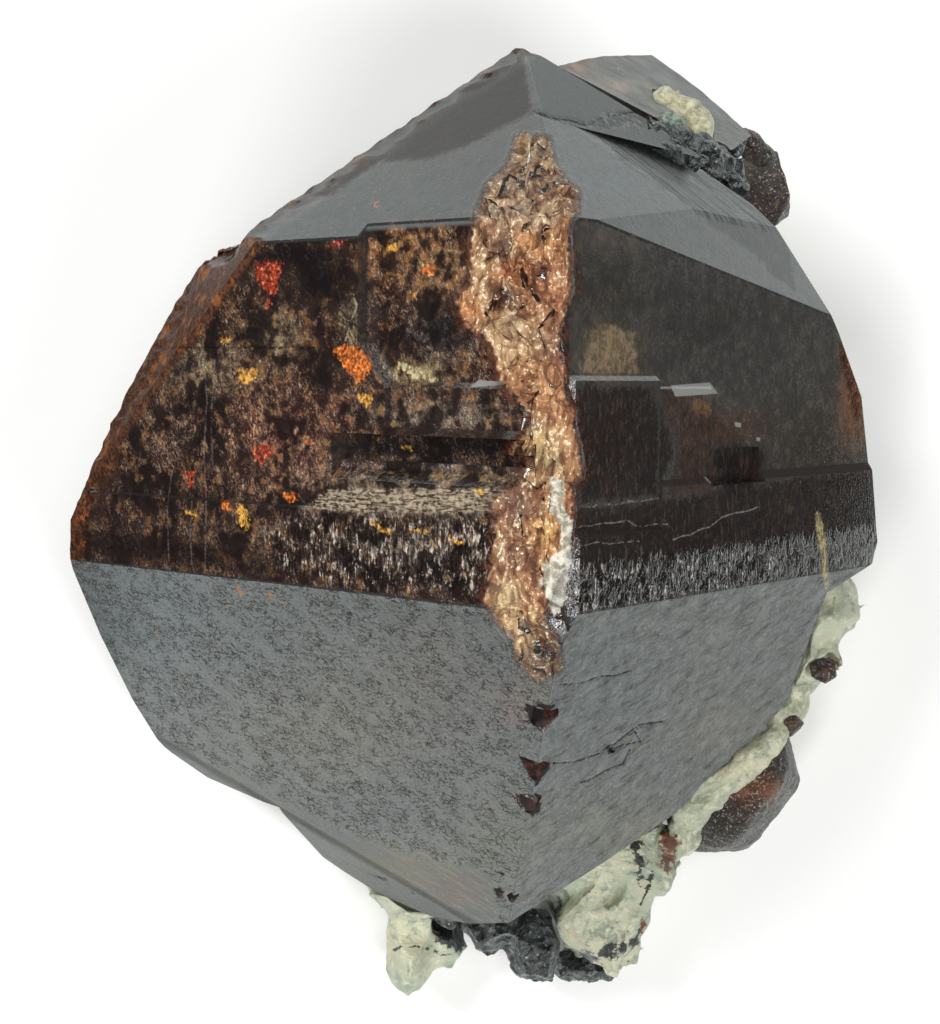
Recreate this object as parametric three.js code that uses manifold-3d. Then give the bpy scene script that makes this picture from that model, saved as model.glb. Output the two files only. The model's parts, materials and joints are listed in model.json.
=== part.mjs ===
// Rough zircon: one big tetragonal crystal lying on a piece of its feldspar matrix, with smaller zircons,
// black mica and feldspar grains grown beside it. Millimetres, +Z up, +Y along the big crystal's long axis.
// The origin is under the middle of the specimen, on the flat broken underside that it rests on.
import * as THREE from "three";
import { mergeVertices } from "three/addons/utils/BufferGeometryUtils.js";
import Module from "manifold-3d";

const wasm = await Module();
wasm.setup();

// Zircon is tetragonal: its pyramid faces lean away from the long axis by the angle whose tangent is c / a
const AXIS_RATIO = 0.9054;
const PYRAMID = THREE.MathUtils.radToDeg(Math.atan(AXIS_RATIO));

// How the big crystal lies, in degrees: long axis nearly level, front edge up
const AXIS_RISE = 4.5;
const AXIS_SWING = 0.5;
const EDGE_LEAN = 5.7;
const CRYSTAL_CENTRE = new THREE.Vector3(2.1, -3, 15);

// The big crystal, from its own centre: prism faces, pyramids and where the girdle and the shoulder lie
const PRISM_REACH = 15;
const SHOULDER_HEIGHT = 17.3;
const TIP = new THREE.Vector3(3.4, 3.4, 27.9);
const LOWER_FACE_POLAR = 124;
const BACK_PYRAMID = { left: 19.9, right: 19.9 };
const BACK_PRISM = { left: 22, right: 18.2 };

// Terraces on the two front prism faces: how far out each tread stands, and where the ledges run
const LEFT_TREADS = { upper: 14.3, middle: 14.6, groove: 13.7, band: 14.35, edge: 14.85 };
const LEFT_LEDGES = { first: 9.7, lip: 7.8, grooveFoot: 6.5, second: 5.55, faint: 3.95 };
const RIGHT_TREADS = { upper: 14.55, block: 14.8, side: 14.68, pit: 14.15 };
const RIGHT_LEDGES = { first: 10.3, second: 9.8, block: 3.4, side: 5.45 };
const BLOCK_EDGE = 7.3;
const SIDE_BLOCK_EDGE = 2.4;

// The matrix under the crystals, and the gap between pieces that touch
const BED_TOP = 5;
const CONTACT_GAP = 0.3;
const GRAIN_GAP = 0.3;

const FAR = 160;
const UP = new THREE.Vector3(0, 0, 1);
const sin = (degrees) => Math.sin(THREE.MathUtils.degToRad(degrees));
const cos = (degrees) => Math.cos(THREE.MathUtils.degToRad(degrees));

// The big crystal's axes: x out of its left prism face, y out of its right prism face, z along its length
function crystalAxes() {
  const length = new THREE.Vector3(
    sin(AXIS_SWING) * cos(AXIS_RISE),
    cos(AXIS_SWING) * cos(AXIS_RISE),
    sin(AXIS_RISE),
  );
  const side = new THREE.Vector3(cos(EDGE_LEAN), 0, -sin(EDGE_LEAN));
  side.addScaledVector(length, -side.dot(length)).normalize();
  const front = new THREE.Vector3().crossVectors(side, length);
  const right = front.clone().add(side).normalize();
  const left = front.clone().sub(side).normalize();
  return new THREE.Matrix4().makeBasis(left, right, length).setPosition(CRYSTAL_CENTRE);
}

const CRYSTAL = crystalAxes();
const CRYSTAL_INVERSE = CRYSTAL.clone().invert();
const CRYSTAL_UP = UP.clone().transformDirection(CRYSTAL_INVERSE);

// Solids from geometries and back
function solidFrom(geometry) {
  const bare = geometry.clone();
  bare.deleteAttribute("normal");
  bare.deleteAttribute("uv");
  const merged = mergeVertices(bare, 1e-4);
  return new wasm.Manifold(
    new wasm.Mesh({
      numProp: 3,
      vertProperties: new Float32Array(merged.attributes.position.array),
      triVerts: new Uint32Array(merged.index.array),
    }),
  );
}

function geometryFrom(solid) {
  const mesh = solid.getMesh();
  const points = new Float32Array(mesh.numVert * 3);
  for (let i = 0; i < mesh.numVert; i++) {
    points.set(mesh.vertProperties.subarray(i * mesh.numProp, i * mesh.numProp + 3), i * 3);
  }
  return new THREE.BufferGeometry()
    .setAttribute("position", new THREE.BufferAttribute(points, 3))
    .setIndex(new THREE.BufferAttribute(mesh.triVerts, 1));
}

function moved(solid, matrix) {
  return solidFrom(geometryFrom(solid).applyMatrix4(matrix));
}

function box(low, high) {
  const size = new THREE.Vector3().subVectors(high, low);
  const middle = new THREE.Vector3().addVectors(low, high).multiplyScalar(0.5);
  return solidFrom(
    new THREE.BoxGeometry(size.x, size.y, size.z).translate(middle.x, middle.y, middle.z),
  );
}

// A flat face: the direction that it looks in and its distance from the origin along it
const facing = (normal, distance) => ({ normal: normal.clone().normalize(), distance });

function face(azimuth, polar, distance) {
  const normal = new THREE.Vector3(
    sin(polar) * cos(azimuth),
    sin(polar) * sin(azimuth),
    cos(polar),
  );
  return { normal, distance };
}

function faceThrough(azimuth, polar, point) {
  const found = face(azimuth, polar, 0);
  return { normal: found.normal, distance: found.normal.dot(point) };
}

// A face through two points of an outline that leans in below them, seen from above
function undercut(from, to, lean, up = UP, inside = new THREE.Vector3()) {
  const along = new THREE.Vector3().subVectors(to, from).normalize();
  const out = along.clone().cross(up).normalize();
  if (out.dot(new THREE.Vector3().subVectors(inside, from)) > 0) out.negate();
  const rise = along.cross(out);
  if (rise.dot(up) < 0) rise.negate();
  const normal = out.multiplyScalar(cos(lean)).addScaledVector(rise, -sin(lean)).normalize();
  return { normal, distance: normal.dot(from) };
}

const turnedRound = ({ normal, distance }) => ({ normal: normal.clone().negate(), distance: -distance });
const grown = ({ normal, distance }, by) => ({ normal, distance: distance + by });

function beyond({ normal, distance }) {
  const turn = new THREE.Quaternion().setFromUnitVectors(UP, normal);
  return solidFrom(
    new THREE.BoxGeometry(FAR, FAR, FAR)
      .translate(0, 0, FAR / 2 + distance)
      .applyQuaternion(turn),
  );
}

// The solid that all the given faces bound, or what they leave of one
function bounded(faces, start) {
  let solid = start ?? solidFrom(new THREE.BoxGeometry(FAR / 2, FAR / 2, FAR / 2));
  for (const cut of faces) solid = solid.subtract(beyond(cut));
  return solid;
}

// Repeatable chance, so that the broken pieces come out the same each time
function chanceFrom(seed) {
  let state = seed * 7919 + 17;
  return () => {
    state = (state * 1103515245 + 12345) % 2147483648;
    return state / 2147483648;
  };
}

const between = (chance, low, high) => low + (high - low) * chance();
const point = (x, y, z) => new THREE.Vector3(x, y, z);

// A place on the big crystal: out along its right and left faces' normals, and height along its length
const onCrystal = (right, left, height) => new THREE.Vector3(left, right, height);

// Which way the big crystal's four sides look, in degrees round its length
const LEFT = 0;
const RIGHT = 90;
const BACK_RIGHT = 180;
const BACK_LEFT = 270;

// A broken lump: a block whose corners and edges are struck off by flat breaks
function lump(centre, radii, seed, breaks = 16, grow = 0) {
  const chance = chanceFrom(seed);
  const turn = new THREE.Quaternion().setFromEuler(
    new THREE.Euler(between(chance, -0.3, 0.3), between(chance, -0.3, 0.3), between(chance, 0, 3)),
  );
  const faces = [];
  for (let i = 0; i < breaks; i++) {
    const height = 1 - (2 * (i + 0.5)) / breaks;
    const around = i * 2.39996 + between(chance, -0.5, 0.5);
    const flat = Math.sqrt(1 - height * height);
    const out = point(flat * Math.cos(around), flat * Math.sin(around), height);
    out.applyQuaternion(turn);
    const normal = point(out.x / radii.x, out.y / radii.y, out.z / radii.z).normalize();
    const reach = point(normal.x * radii.x, normal.y * radii.y, normal.z * radii.z).length();
    faces.push(facing(normal, reach * between(chance, 0.8, 0.98) + grow + normal.dot(centre)));
  }
  const room = radii.clone().addScalar(grow + 1);
  return bounded(faces, box(centre.clone().sub(room), centre.clone().add(room)));
}

function joined(solids) {
  return solids.reduce((whole, next) => whole.add(next));
}

const without = (solid, others) => others.reduce((left, other) => left.subtract(other), solid);

// Corners of the big crystal's outline, on its own axes, left side from the shoulder down to the lower tip
const LEFT_BEVEL = facing(onCrystal(-0.335, 0.875, 0.35), 20.75);
const LEFT_OUTLINE = [
  onCrystal(-10.5, 12.9, 17.3),
  onCrystal(-12.5, 13, 15.2),
  onCrystal(-15.1, 13.7, 11.4),
  onCrystal(-17, 14.1, 8.3),
  onCrystal(-19.7, 15, 2.3),
  onCrystal(-20, 14.7, 0),
  onCrystal(-21, 11.8, -4.8),
  onCrystal(-21.6, 8.9, -9.1),
  onCrystal(-21.4, 6.8, -12.3),
  onCrystal(-19.7, 5.1, -15),
  onCrystal(-13.5, 3, -18.6),
  onCrystal(-9.2, 1.3, -21),
  onCrystal(-6.2, 1.2, -21.4),
  onCrystal(-0.3, 0.9, -21.7),
];

// The same on the right side
const RIGHT_OUTLINE = [
  onCrystal(13.3, -8.6, 17.2),
  onCrystal(15, -10.4, 13.1),
  onCrystal(15, -13, 10.4),
  onCrystal(15, -14.3, 5.6),
  onCrystal(15, -15.2, 1.3),
  onCrystal(7.4, -17.7, -11.3),
  onCrystal(5.5, -15.8, -14.1),
  onCrystal(3.3, -5.1, -17.5),
  onCrystal(1.5, 2.6, -20.5),
];

const SIDE_LEAN = 5;

function outlineFaces(corners) {
  const faces = [];
  for (let i = 0; i + 1 < corners.length; i++) {
    faces.push(undercut(corners[i], corners[i + 1], SIDE_LEAN, CRYSTAL_UP));
  }
  return faces;
}

// Faces behind: steep ones between the back prism and pyramid faces, and a low one behind the tip
const BACK_LEFT_BEVEL = faceThrough(BACK_LEFT, 64, onCrystal(-17.9, 0, 8.2));
const BACK_RIGHT_BEVEL = faceThrough(BACK_RIGHT, 62, onCrystal(0, -13.4, 10.2));
const BACK_TIP_FACE = faceThrough(BACK_RIGHT - 7, 28.6, TIP);

// Steep face between the right pyramid face and the prism, and the streaked face behind it
const RIGHT_STEEP = facing(onCrystal(0.898, -0.071, 0.434), 19.88);
const RIGHT_STREAKED = facing(onCrystal(0.634, -0.065, 0.772), 22.84);

// The lower tip's left face ends in a steeper band
const LOWER_BAND = facing(onCrystal(-0.13, 0.662, -0.738), 16.15);

// The crack across the upper right face, above which the tip stands a little proud
const CRACK = faceThrough(BACK_RIGHT, 3, onCrystal(8.3, 8.6, 23.1));

function mainFaces() {
  const shoulder = onCrystal(PRISM_REACH, PRISM_REACH, SHOULDER_HEIGHT);
  const girdle = onCrystal(PRISM_REACH, PRISM_REACH, 0);
  return [
    face(LEFT, 90, PRISM_REACH),
    face(RIGHT, 90, PRISM_REACH),
    faceThrough(LEFT, PYRAMID, shoulder),
    faceThrough(RIGHT, PYRAMID, shoulder),
    face(BACK_LEFT, PYRAMID, BACK_PYRAMID.left),
    face(BACK_RIGHT, PYRAMID, BACK_PYRAMID.right),
    face(BACK_LEFT, 90, BACK_PRISM.left),
    face(BACK_RIGHT, 90, BACK_PRISM.right),
    BACK_LEFT_BEVEL,
    BACK_RIGHT_BEVEL,
    BACK_TIP_FACE,
    faceThrough(LEFT, LOWER_FACE_POLAR, girdle),
    faceThrough(RIGHT, LOWER_FACE_POLAR, girdle),
    LEFT_BEVEL,
    RIGHT_STEEP,
    LOWER_BAND,
    ...outlineFaces(LEFT_OUTLINE),
    ...outlineFaces(RIGHT_OUTLINE),
    facing(CRYSTAL_UP.clone().negate(), CRYSTAL_CENTRE.z - BED_TOP),
  ];
}

// Where the outline steps in: behind the upper left face, at the lower left, and the bay that the right
// lobe of matrix fills. Each notch lies outside two faces
const UPPER_LEFT_CORNER = onCrystal(-6.7, 15.3, 17.2);
const UPPER_LEFT_NOTCH = [
  undercut(TIP.clone().add(onCrystal(-0.3, 0, 0.2)), UPPER_LEFT_CORNER, SIDE_LEAN, CRYSTAL_UP),
  faceThrough(LEFT, 8, UPPER_LEFT_CORNER),
];
const LOWER_LEFT_NOTCH = [
  undercut(onCrystal(-20.4, 5.4, -14.1), onCrystal(-13.1, 4.5, -15.1), SIDE_LEAN, CRYSTAL_UP),
  undercut(onCrystal(-13.5, 4.5, -15), onCrystal(-12.6, 2.6, -18.6), SIDE_LEAN, CRYSTAL_UP),
];
const ABOVE_BAY = onCrystal(0, 0, 40);
const RIGHT_BAY = [
  undercut(onCrystal(14.2, -10.9, -1.2), onCrystal(8, -16.7, -10.3), SIDE_LEAN, CRYSTAL_UP),
  undercut(onCrystal(14.2, -10.6, -1.4), onCrystal(15, -15, 0.2), SIDE_LEAN, CRYSTAL_UP, ABOVE_BAY),
];

const outside = (faces, grow) => bounded(faces.map((side) => grown(turnedRound(side), -grow)));

function mainBody(grow) {
  const body = bounded(mainFaces().map((side) => grown(side, grow)));
  const streaked = bounded([grown(CRACK, -grow)], outside([RIGHT_STREAKED], grow));
  const notches = [UPPER_LEFT_NOTCH, LOWER_LEFT_NOTCH, RIGHT_BAY].map((faces) => outside(faces, grow));
  return without(body, [streaked, ...notches]);
}

// Part of the left prism face that is set back: from tread out, between two heights and two places across
function leftRecess(tread, low, high, from, to) {
  const floor = faceThrough(LEFT, PYRAMID, onCrystal(0, PRISM_REACH, low));
  const block = box(onCrystal(from, tread, low - 3), onCrystal(to, PRISM_REACH + 4, high));
  return bounded([turnedRound(floor)], block);
}

function rightRecess(tread, low, high, from, to) {
  const floor = faceThrough(RIGHT, PYRAMID, onCrystal(PRISM_REACH, 0, low));
  const block = box(onCrystal(tread, from, low - 3), onCrystal(PRISM_REACH + 4, to, high));
  return bounded([turnedRound(floor)], block);
}

function leftTerraces() {
  const corner = faceThrough(BACK_LEFT, 130, onCrystal(4.4, 0, 9.8));
  const upper = bounded([corner], leftRecess(LEFT_TREADS.upper, LEFT_LEDGES.first, 24, 2.4, 19));
  const middle = leftRecess(LEFT_TREADS.middle, LEFT_LEDGES.lip, LEFT_LEDGES.first + 1, 4.2, 13);
  const groove = box(
    onCrystal(0.7, LEFT_TREADS.groove, LEFT_LEDGES.grooveFoot),
    onCrystal(12.6, PRISM_REACH + 1, LEFT_LEDGES.lip),
  );
  const band = leftRecess(LEFT_TREADS.band, LEFT_LEDGES.second, LEFT_LEDGES.lip - 0.2, 0.7, 13.2);
  const faint = leftRecess(LEFT_TREADS.edge, LEFT_LEDGES.faint, 12, -24, -0.4);
  return [upper, middle, groove, band, faint];
}

function rightTerraces() {
  const upper = rightRecess(RIGHT_TREADS.upper, RIGHT_LEDGES.first, 24, BLOCK_EDGE - 0.8, 19);
  const upperSide = rightRecess(RIGHT_TREADS.upper, RIGHT_LEDGES.second, 24, SIDE_BLOCK_EDGE, BLOCK_EDGE);
  const block = rightRecess(RIGHT_TREADS.block, RIGHT_LEDGES.block, 12, BLOCK_EDGE, 19);
  const side = rightRecess(RIGHT_TREADS.side, RIGHT_LEDGES.side, 11, SIDE_BLOCK_EDGE, BLOCK_EDGE);
  const smooth = rightRecess(RIGHT_TREADS.upper, RIGHT_LEDGES.side, 24, -24, SIDE_BLOCK_EDGE);
  const pit = bounded(
    [faceThrough(200, 60, onCrystal(0, -2.2, 6.6)), faceThrough(340, 120, onCrystal(0, 2.4, 5.5))],
    box(onCrystal(RIGHT_TREADS.pit, -2.4, 5.3), onCrystal(PRISM_REACH + 1, 2.9, 7.1)),
  );
  return [upper, upperSide, block, side, smooth, pit];
}

// Dark pits down the lower ridge, as distance below the girdle and size
const RIDGE_PITS = [
  { below: 5.7, size: 0.75 },
  { below: 8.8, size: 0.65 },
  { below: 11, size: 0.7 },
  { below: 17.8, size: 0.35 },
];

function ridgePits() {
  const inward = Math.tan(THREE.MathUtils.degToRad(LOWER_FACE_POLAR - 90));
  return RIDGE_PITS.map(({ below, size }, i) => {
    const reach = PRISM_REACH - below * inward - 0.1;
    return lump(onCrystal(reach, reach, -below), point(size, size, size * 1.3), 60 + i, 10);
  });
}

// The brown sugary break down the front edge: its left limit at each height, on the left face
const BREAK_LIMITS = [
  { height: 21.6, from: 9.9 },
  { height: 18, from: 10.2 },
  { height: 12.7, from: 10.4 },
  { height: 9.6, from: 12 },
  { height: 6, from: 13.1 },
  { height: 3.3, from: 12.8 },
  { height: 0, from: 12.6 },
  { height: -2.3, from: 12.3 },
];
const BREAK_STEP = 0.95;
const BREAK_SPACING = 1.05;

function breakLimit(height) {
  for (let i = 0; i + 1 < BREAK_LIMITS.length; i++) {
    const [above, under] = [BREAK_LIMITS[i], BREAK_LIMITS[i + 1]];
    if (height <= above.height && height >= under.height) {
      const share = (above.height - height) / (above.height - under.height);
      return above.from + share * (under.from - above.from);
    }
  }
  return BREAK_LIMITS.at(-1).from;
}

// How far out the left face and the front edge stand at a height
function frontReach(height) {
  if (height < 0) {
    return PRISM_REACH + height * Math.tan(THREE.MathUtils.degToRad(LOWER_FACE_POLAR - 90));
  }
  const onPyramid = PRISM_REACH - (height - SHOULDER_HEIGHT) / AXIS_RATIO;
  return Math.min(LEFT_TREADS.upper + (height < LEFT_LEDGES.first ? 0.4 : 0), onPyramid);
}

function frontBreak() {
  const chance = chanceFrom(5);
  const grains = [];
  const top = BREAK_LIMITS[0].height;
  for (let height = top; height > BREAK_LIMITS.at(-1).height; height -= BREAK_STEP) {
    const reach = frontReach(height);
    for (let across = reach - 0.9; across > breakLimit(height) - 0.2; across -= BREAK_SPACING) {
      const size = between(chance, 0.5, 0.75);
      const centre = onCrystal(
        across + between(chance, -0.2, 0.1),
        reach - size * between(chance, 0.65, 0.88),
        height + between(chance, -0.35, 0.35),
      );
      const radii = point(size, size, size * between(chance, 0.9, 1.3));
      grains.push(lump(centre, radii, 200 + grains.length, 8));
    }
  }
  return grains;
}

// A thin flake standing out of the lower right face
function lowerFlake() {
  const flake = box(onCrystal(8.9, -0.6, -10.1), onCrystal(9.5, 2.7, -8.9));
  return bounded([faceThrough(120, 160, onCrystal(9, 2.7, -9))], flake);
}

// The front edge is blunted where it is broken
const FRONT_EDGE = facing(onCrystal(1, 1, 0), (PRISM_REACH - 0.55) * Math.SQRT2);

function mainZircon() {
  const whole = without(mainBody(0), [...leftTerraces(), ...rightTerraces(), ...ridgePits()]);
  return joined([bounded([FRONT_EDGE], whole), lowerFlake(), ...frontBreak()]);
}

// The zircon beside the big one at the upper right: a wide face that looks up and away, with broken sides
const NEIGHBOUR_FACE = facing(point(0.45, 0.68, 0.58), 30.1);
const NEIGHBOUR_OUTLINE = [
  point(3.4, 23, 22.2),
  point(6.5, 24.8, 17.8),
  point(8, 25.4, 16),
  point(10.4, 26.2, 13.2),
  point(12.9, 24.3, 13.5),
  point(14.3, 22.9, 14),
  point(15.9, 21.2, 14.7),
  point(11, 17.6, 20),
];
const NEIGHBOUR_MIDDLE = point(9, 20, 10);
const NEIGHBOUR_LEAN = 16;
const NEIGHBOUR_BACK = [
  facing(point(0, -1, 0), -14),
  facing(point(-1, 0.15, 0), 0.4),
  facing(point(0, 0, -1), -4),
];

function neighbourFaces() {
  const faces = [NEIGHBOUR_FACE, ...NEIGHBOUR_BACK];
  for (let i = 0; i + 1 < NEIGHBOUR_OUTLINE.length; i++) {
    const [from, to] = [NEIGHBOUR_OUTLINE[i], NEIGHBOUR_OUTLINE[i + 1]];
    faces.push(undercut(from, to, NEIGHBOUR_LEAN, UP, NEIGHBOUR_MIDDLE));
  }
  return faces;
}

const neighbourBody = (grow) => bounded(neighbourFaces().map((side) => grown(side, grow)));

// Smaller crystals: square prisms with pyramid ends, turned and sunk into what they grew on
function smallZircon({ centre, half, length, turn }, grow = 0) {
  const faces = [];
  for (let i = 0; i < 4; i++) {
    faces.push(face(90 * i, 90, half + grow));
    faces.push(face(90 * i, PYRAMID, length * cos(PYRAMID) + half * sin(PYRAMID) + grow));
    faces.push(face(90 * i, 180 - PYRAMID, length * cos(PYRAMID) + half * sin(PYRAMID) + grow));
  }
  const place = new THREE.Matrix4().makeRotationFromEuler(
    new THREE.Euler(...turn.map(THREE.MathUtils.degToRad)),
  );
  return moved(bounded(faces), place.setPosition(centre));
}

const BROWN_ZIRCON = { centre: point(16.7, 18.5, 12.8), half: 1.35, length: 1.5, turn: [68, 12, 8] };
const LOWER_ZIRCON = { centre: point(16, -16.7, 4.8), half: 3.3, length: 2.7, turn: [90, -38, 24] };
const UPPER_GRAIN_ZIRCON = { centre: point(20.8, -9.3, 10), half: 0.55, length: 0.6, turn: [20, 35, 15] };
const LOWER_GRAIN_ZIRCON = { centre: point(19.3, -12.8, 8), half: 0.5, length: 0.55, turn: [-30, 10, 40] };

// The matrix: a bed under the crystals and the lobes that show round them. Each row is centre and radii
const BED = { centre: point(1.5, -1.5, 1.5), radii: point(18, 20, 6.8) };
const MATRIX_LOBES = [
  [point(18.7, -7.4, 5.2), point(4.5, 4.5, 6.6)],
  [point(20.6, -6.2, 7.4), point(3, 3, 4.4)],
  [point(21.1, -4.7, 7), point(2.5, 2.4, 4.6)],
  [point(19.9, -8.4, 5.6), point(2.1, 2, 4.2)],
  [point(17.2, -13, 3.6), point(3, 3.2, 3.8)],
  [point(14.6, -16.6, 3), point(3.4, 3, 4.2)],
  [point(9.7, -20.3, 3.8), point(3.8, 3.6, 5)],
  [point(8.2, -24.4, 4), point(3.3, 3.8, 4.4)],
  [point(8.2, -26.6, 3), point(2.1, 2.6, 3.4)],
  [point(3.4, -19.8, 3.4), point(6.4, 4.6, 5.4)],
  [point(-3.2, -22.6, 4), point(3, 3.6, 5.2)],
  [point(-3.6, -26.8, 3.6), point(2.2, 3.2, 4)],
  [point(-1.5, -26.6, 3), point(1.7, 2.4, 3.4)],
  [point(10.5, 14, 3.4), point(6.6, 6.4, 5)],
  [point(15.4, 15.8, 5.2), point(2.8, 3.4, 6)],
];
const RUBBLE = [
  { from: point(20.9, -4.4, 8.5), to: point(19.6, -10, 6.2), count: 9, spread: 0.9, size: 1.2 },
  { from: point(18.4, -11.8, 5.6), to: point(12.6, -18.6, 5.6), count: 10, spread: 0.6, size: 1.15 },
  { from: point(11.5, -20, 6.6), to: point(7.6, -26.6, 5), count: 12, spread: 1.3, size: 1.2 },
  { from: point(-4.2, -22.4, 6.4), to: point(-3.1, -27.4, 4), count: 8, spread: 0.8, size: 1 },
];

// Broken grains scattered along a line on the matrix
function rubble({ from, to, count, spread, size }, seed) {
  const chance = chanceFrom(seed);
  const grains = [];
  for (let i = 0; i < count; i++) {
    const centre = from.clone().lerp(to, i / (count - 1));
    centre.x += between(chance, -spread, spread);
    centre.y += between(chance, -spread, spread);
    centre.z += between(chance, -spread, spread) * 0.6;
    const reach = size * between(chance, 0.7, 1.2);
    grains.push(lump(centre, point(reach, reach * 0.9, reach * 1.1), seed * 31 + i, 9));
  }
  return grains;
}

const belowBed = () => beyond(facing(point(0, 0, -1), 0));

// Black mica and amphibole: chains of thin broken plates. Each row is centre and radii
const LOWER_MICA = [
  [point(-1.4, -24.2, 4.6), point(1.3, 1.5, 2.6)],
  [point(1.2, -25.3, 4.2), point(1.9, 1.9, 3.4)],
  [point(4, -27, 4), point(1.9, 2.3, 3.3)],
  [point(4.4, -28.3, 2.8), point(1.5, 1.1, 2.2)],
  [point(6.6, -28.7, 2.4), point(1.9, 1, 2)],
  [point(8.2, -28.8, 2.2), point(1.2, 1, 1.8)],
];
const UPPER_MICA = [
  [point(9.5, 20.2, 20.5), point(1, 0.8, 1)],
  [point(10.9, 19.8, 19.9), point(1.3, 1, 1.3)],
  [point(12.2, 19.3, 19.2), point(1.4, 1.2, 1.5)],
  [point(13.4, 18.5, 18.4), point(1.2, 1.3, 1.6)],
  [point(14.3, 18.4, 16.6), point(1.1, 1.4, 1.8)],
];
const FELDSPAR_GRAIN = [
  [point(10.9, 22.7, 16.8), point(0.75, 0.6, 0.9)],
  [point(11.7, 22.3, 16.8), point(0.8, 0.65, 0.9)],
  [point(12.3, 21.7, 17), point(0.75, 0.7, 0.9)],
  [point(12.6, 21.1, 17.4), point(0.6, 0.7, 0.9)],
];

function cluster(rows, seed, breaks, grow) {
  return joined(rows.map(([centre, radii], i) => lump(centre, radii, seed + i, breaks, grow)));
}

const lowerMica = (grow) => cluster(LOWER_MICA, 410, 14, grow);
const upperMica = (grow) => cluster(UPPER_MICA, 440, 14, grow);
const feldsparGrain = (grow) => cluster(FELDSPAR_GRAIN, 470, 10, grow);

function matrix(zirconSpace) {
  const lobes = MATRIX_LOBES.map(([centre, radii], i) => lump(centre, radii, 100 + i, 18));
  const grains = RUBBLE.flatMap((row, i) => rubble(row, 20 + i));
  const whole = joined([lump(BED.centre, BED.radii, 3, 26), ...lobes, ...grains]);
  return without(whole, [
    belowBed(),
    zirconSpace,
    neighbourBody(CONTACT_GAP),
    upperMica(GRAIN_GAP),
    smallZircon(BROWN_ZIRCON, CONTACT_GAP),
    smallZircon(LOWER_ZIRCON, CONTACT_GAP),
    smallZircon(UPPER_GRAIN_ZIRCON, GRAIN_GAP),
    smallZircon(LOWER_GRAIN_ZIRCON, GRAIN_GAP),
    lowerMica(CONTACT_GAP),
  ]);
}

const MATERIALS = {
  zircon: new THREE.MeshStandardMaterial({ color: 0x3a2a24, roughness: 0.22, metalness: 0 }),
  brownZircon: new THREE.MeshStandardMaterial({ color: 0x5a3424, roughness: 0.25, metalness: 0 }),
  feldspar: new THREE.MeshStandardMaterial({ color: 0xd2d2bc, roughness: 0.7, metalness: 0 }),
  mica: new THREE.MeshStandardMaterial({ color: 0x25282a, roughness: 0.4, metalness: 0 }),
};

// The biggest body that is left where cuts have parted a solid
function largest(solid) {
  const index = solid.getMesh().triVerts;
  const points = geometryFrom(solid).attributes.position;
  const group = Array.from({ length: points.count }, (_, i) => i);
  const root = (i) => {
    while (group[i] !== i) i = group[i] = group[group[i]];
    return i;
  };
  for (let i = 0; i < index.length; i += 3) {
    group[root(index[i + 1])] = root(index[i]);
    group[root(index[i + 2])] = root(index[i]);
  }
  const sizes = new Map();
  for (let i = 0; i < index.length; i += 3) {
    sizes.set(root(index[i]), (sizes.get(root(index[i])) ?? 0) + 1);
  }
  const [kept] = [...sizes].sort((a, b) => b[1] - a[1])[0];
  const triangles = [];
  for (let i = 0; i < index.length; i += 3) {
    if (root(index[i]) === kept) triangles.push(index[i], index[i + 1], index[i + 2]);
  }
  return solidFrom(geometryFrom(solid).setIndex(triangles));
}

function piece(name, solid, material) {
  const mesh = new THREE.Mesh(geometryFrom(largest(solid)), material);
  mesh.name = name;
  return mesh;
}

// Every piece, each cut back from what it touches by the gap between them
function specimen() {
  const zirconSpace = moved(mainBody(CONTACT_GAP), CRYSTAL);
  const neighbour = without(neighbourBody(0), [zirconSpace, upperMica(GRAIN_GAP), feldsparGrain(GRAIN_GAP)]);
  const brown = without(smallZircon(BROWN_ZIRCON), [zirconSpace, neighbourBody(CONTACT_GAP)]);
  const brownSpace = smallZircon(BROWN_ZIRCON, CONTACT_GAP);
  const whiteGrain = without(feldsparGrain(0), [zirconSpace, upperMica(GRAIN_GAP)]);
  const lower = without(smallZircon(LOWER_ZIRCON), [zirconSpace, belowBed()]);
  const lowerSpace = smallZircon(LOWER_ZIRCON, CONTACT_GAP);
  const lowerGrain = without(smallZircon(LOWER_GRAIN_ZIRCON), [zirconSpace]);

  const lying = new THREE.Group();
  lying.add(piece("main_zircon", mainZircon(), MATERIALS.zircon));
  lying.applyMatrix4(CRYSTAL);

  const group = new THREE.Group();
  group.add(
    lying,
    piece("neighbour_zircon", neighbour, MATERIALS.zircon),
    piece("brown_zircon", brown, MATERIALS.brownZircon),
    piece("lower_zircon", lower, MATERIALS.brownZircon),
    piece("upper_grain_zircon", smallZircon(UPPER_GRAIN_ZIRCON), MATERIALS.brownZircon),
    piece("lower_grain_zircon", lowerGrain, MATERIALS.brownZircon),
    piece("feldspar_matrix", matrix(zirconSpace), MATERIALS.feldspar),
    piece("feldspar_grain", whiteGrain, MATERIALS.feldspar),
    piece("lower_mica", without(lowerMica(0), [belowBed(), zirconSpace, lowerSpace]), MATERIALS.mica),
    piece("upper_mica", without(upperMica(0), [zirconSpace, brownSpace]), MATERIALS.mica),
  );
  return group;
}

// The origin goes under the middle of the whole specimen
function centred(group) {
  const bounds = new THREE.Box3().setFromObject(group, true);
  const middle = bounds.getCenter(new THREE.Vector3());
  group.position.set(-middle.x, -middle.y, -bounds.min.z);
  group.updateMatrixWorld(true);
  const whole = new THREE.Group();
  whole.add(group);
  return whole;
}

export default centred(specimen());
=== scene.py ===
"""A rough zircon: one large crystal lying on pale feldspar, with smaller crystals and black mica.

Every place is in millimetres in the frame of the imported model, and is turned to metres where Blender needs it.
"""

import json
import math

import bpy
import numpy as np
from bpy.props import FloatProperty, FloatVectorProperty, PointerProperty
from mathutils import Matrix, Vector

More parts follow.
